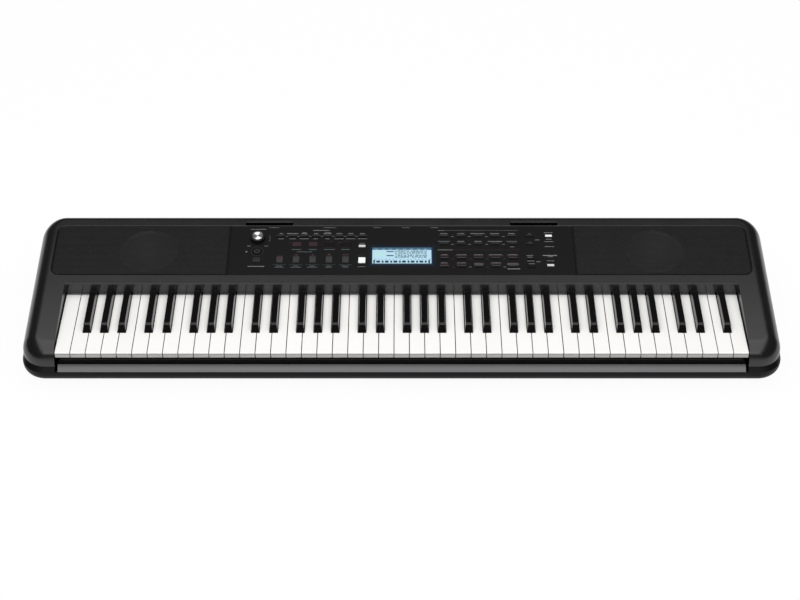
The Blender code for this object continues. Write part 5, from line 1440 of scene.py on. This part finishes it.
refinish(moulded("socket_black", (0.012, 0.012, 0.012), 0.35), *SOCKETS)
refinish(moulded("key_bed_plastic", (0.010, 0.010, 0.010), 0.60, specular=0.2), "key_chassis")
refinish(wool_felt("felt_black", (0.025, 0.024, 0.024)), "key_felt")
refinish(fibre_board("board_green", (0.010, 0.070, 0.030)), "main_board", "panel_board", "key_contact_board")
refinish(clear_gloss("module_glass", (0.30, 0.45, 0.50), 0.05), "display_module")


# Underside
# Four rubber feet on bosses, nine pan-head screws in shallow wells, and a battery cover that
# slides forwards, with grip ribs where the thumb pushes it.

FOOT_EASE = 0.0010
FOOT_TAPER = 0.0015
FOOT_DISH = ((0.0012, 0.0004), (0.0006, 0))
SCREW_HEAD = 0.0033
SCREW_RISE = 0.0012
SCREW_DOME = ((1, 0.4), (0.85, 0.8), (0.5, 1))
CROSS_HALF = (0.0020, 0.0004)
CROSS_DEPTH = 0.00084
RIB_COUNT = 7
RIB_PITCH = 0.0024
RIB_SIZE = (0.030, 0.0011, 0.0004)
RIB_SETBACK = 0.010
ARROW_HALF, ARROW_RISE = 0.006, (0.020, 0.026)

rubber = moulded("foot_rubber_matt", (0.016, 0.016, 0.016), 0.75, 0.0005, 0.00004, specular=0.3)
for name, (low, high) in feet.items():
    place = Matrix.Translation(((low.x + high.x) / 2, (low.y + high.y) / 2, 0))
    wide = (high.x - low.x) / 2
    sole = wide - FOOT_TAPER - FOOT_EASE
    profile = [(sole - inwards, rise) for inwards, rise in FOOT_DISH]
    profile += [(sole + FOOT_EASE * math.sin(t), FOOT_EASE * (1 - math.cos(t)))
                for t in (math.radians(30) * step for step in range(4))]
    fit(name.replace("foot", "rubber_foot"), blocks(turned(profile + [(wide, high.z)], place, 56)), rubber,
        "foot_rubber", "instrument", name)

screws, crosses = [], []
long, wide = CROSS_HALF
cross = [(-long, -wide), (-wide, -wide), (-wide, -long), (wide, -long), (wide, -wide), (long, -wide),
         (long, wide), (wide, wide), (wide, long), (-wide, long), (-wide, wide), (-long, wide)]
cross_z = case_bottom_z + WELL_DEPTH - SCREW_RISE
head = [(SCREW_HEAD, -SEAT_GAP)] + [(SCREW_HEAD * reach, SCREW_RISE * rise) for reach, rise in SCREW_DOME]
for x, y in wells:
    place = Matrix.Translation((x, y, case_bottom_z + WELL_DEPTH)) @ Matrix.Rotation(math.pi, 4, "X")
    screws.append(turned(head, place, 28))
    crosses.append(upright([(x + a, y + b) for a, b in cross], cross_z - EDGE, cross_z + CROSS_DEPTH))
screw_finish = brushed_steel("screw_zinc", (0.30, 0.30, 0.31), 0.35)
fit("case_screws", carve(blocks(*screws), blocks(*crosses)), screw_finish, "pot_metal", "instrument")

rib_y = cover_low.y + RIB_SETBACK
rib_ends = (case_bottom_z - EDGE, case_bottom_z + RIB_SIZE[2])
ribs = [upright(patch((-RIB_SIZE[0] / 2, RIB_SIZE[0] / 2), (y, y + RIB_SIZE[1])), *rib_ends)
        for y in (rib_y + RIB_PITCH * i for i in range(RIB_COUNT))]
tip_y, tail_y = (rib_y + rise for rise in ARROW_RISE)
ribs.append(upright([(0, tip_y), (ARROW_HALF, tail_y), (-ARROW_HALF, tail_y)], *rib_ends))
cover = carve(blocks(along_y(tee_outline(0), cover_low.y, cover_high.y)), blocks(*ribs))
fit("battery_lid", cover, tray_finish, "lower_plastic", "battery_cover", "battery_cover")


size = {"cad": [list(corner) for corner in cad_box], "visual": [list(corner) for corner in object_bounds()]}
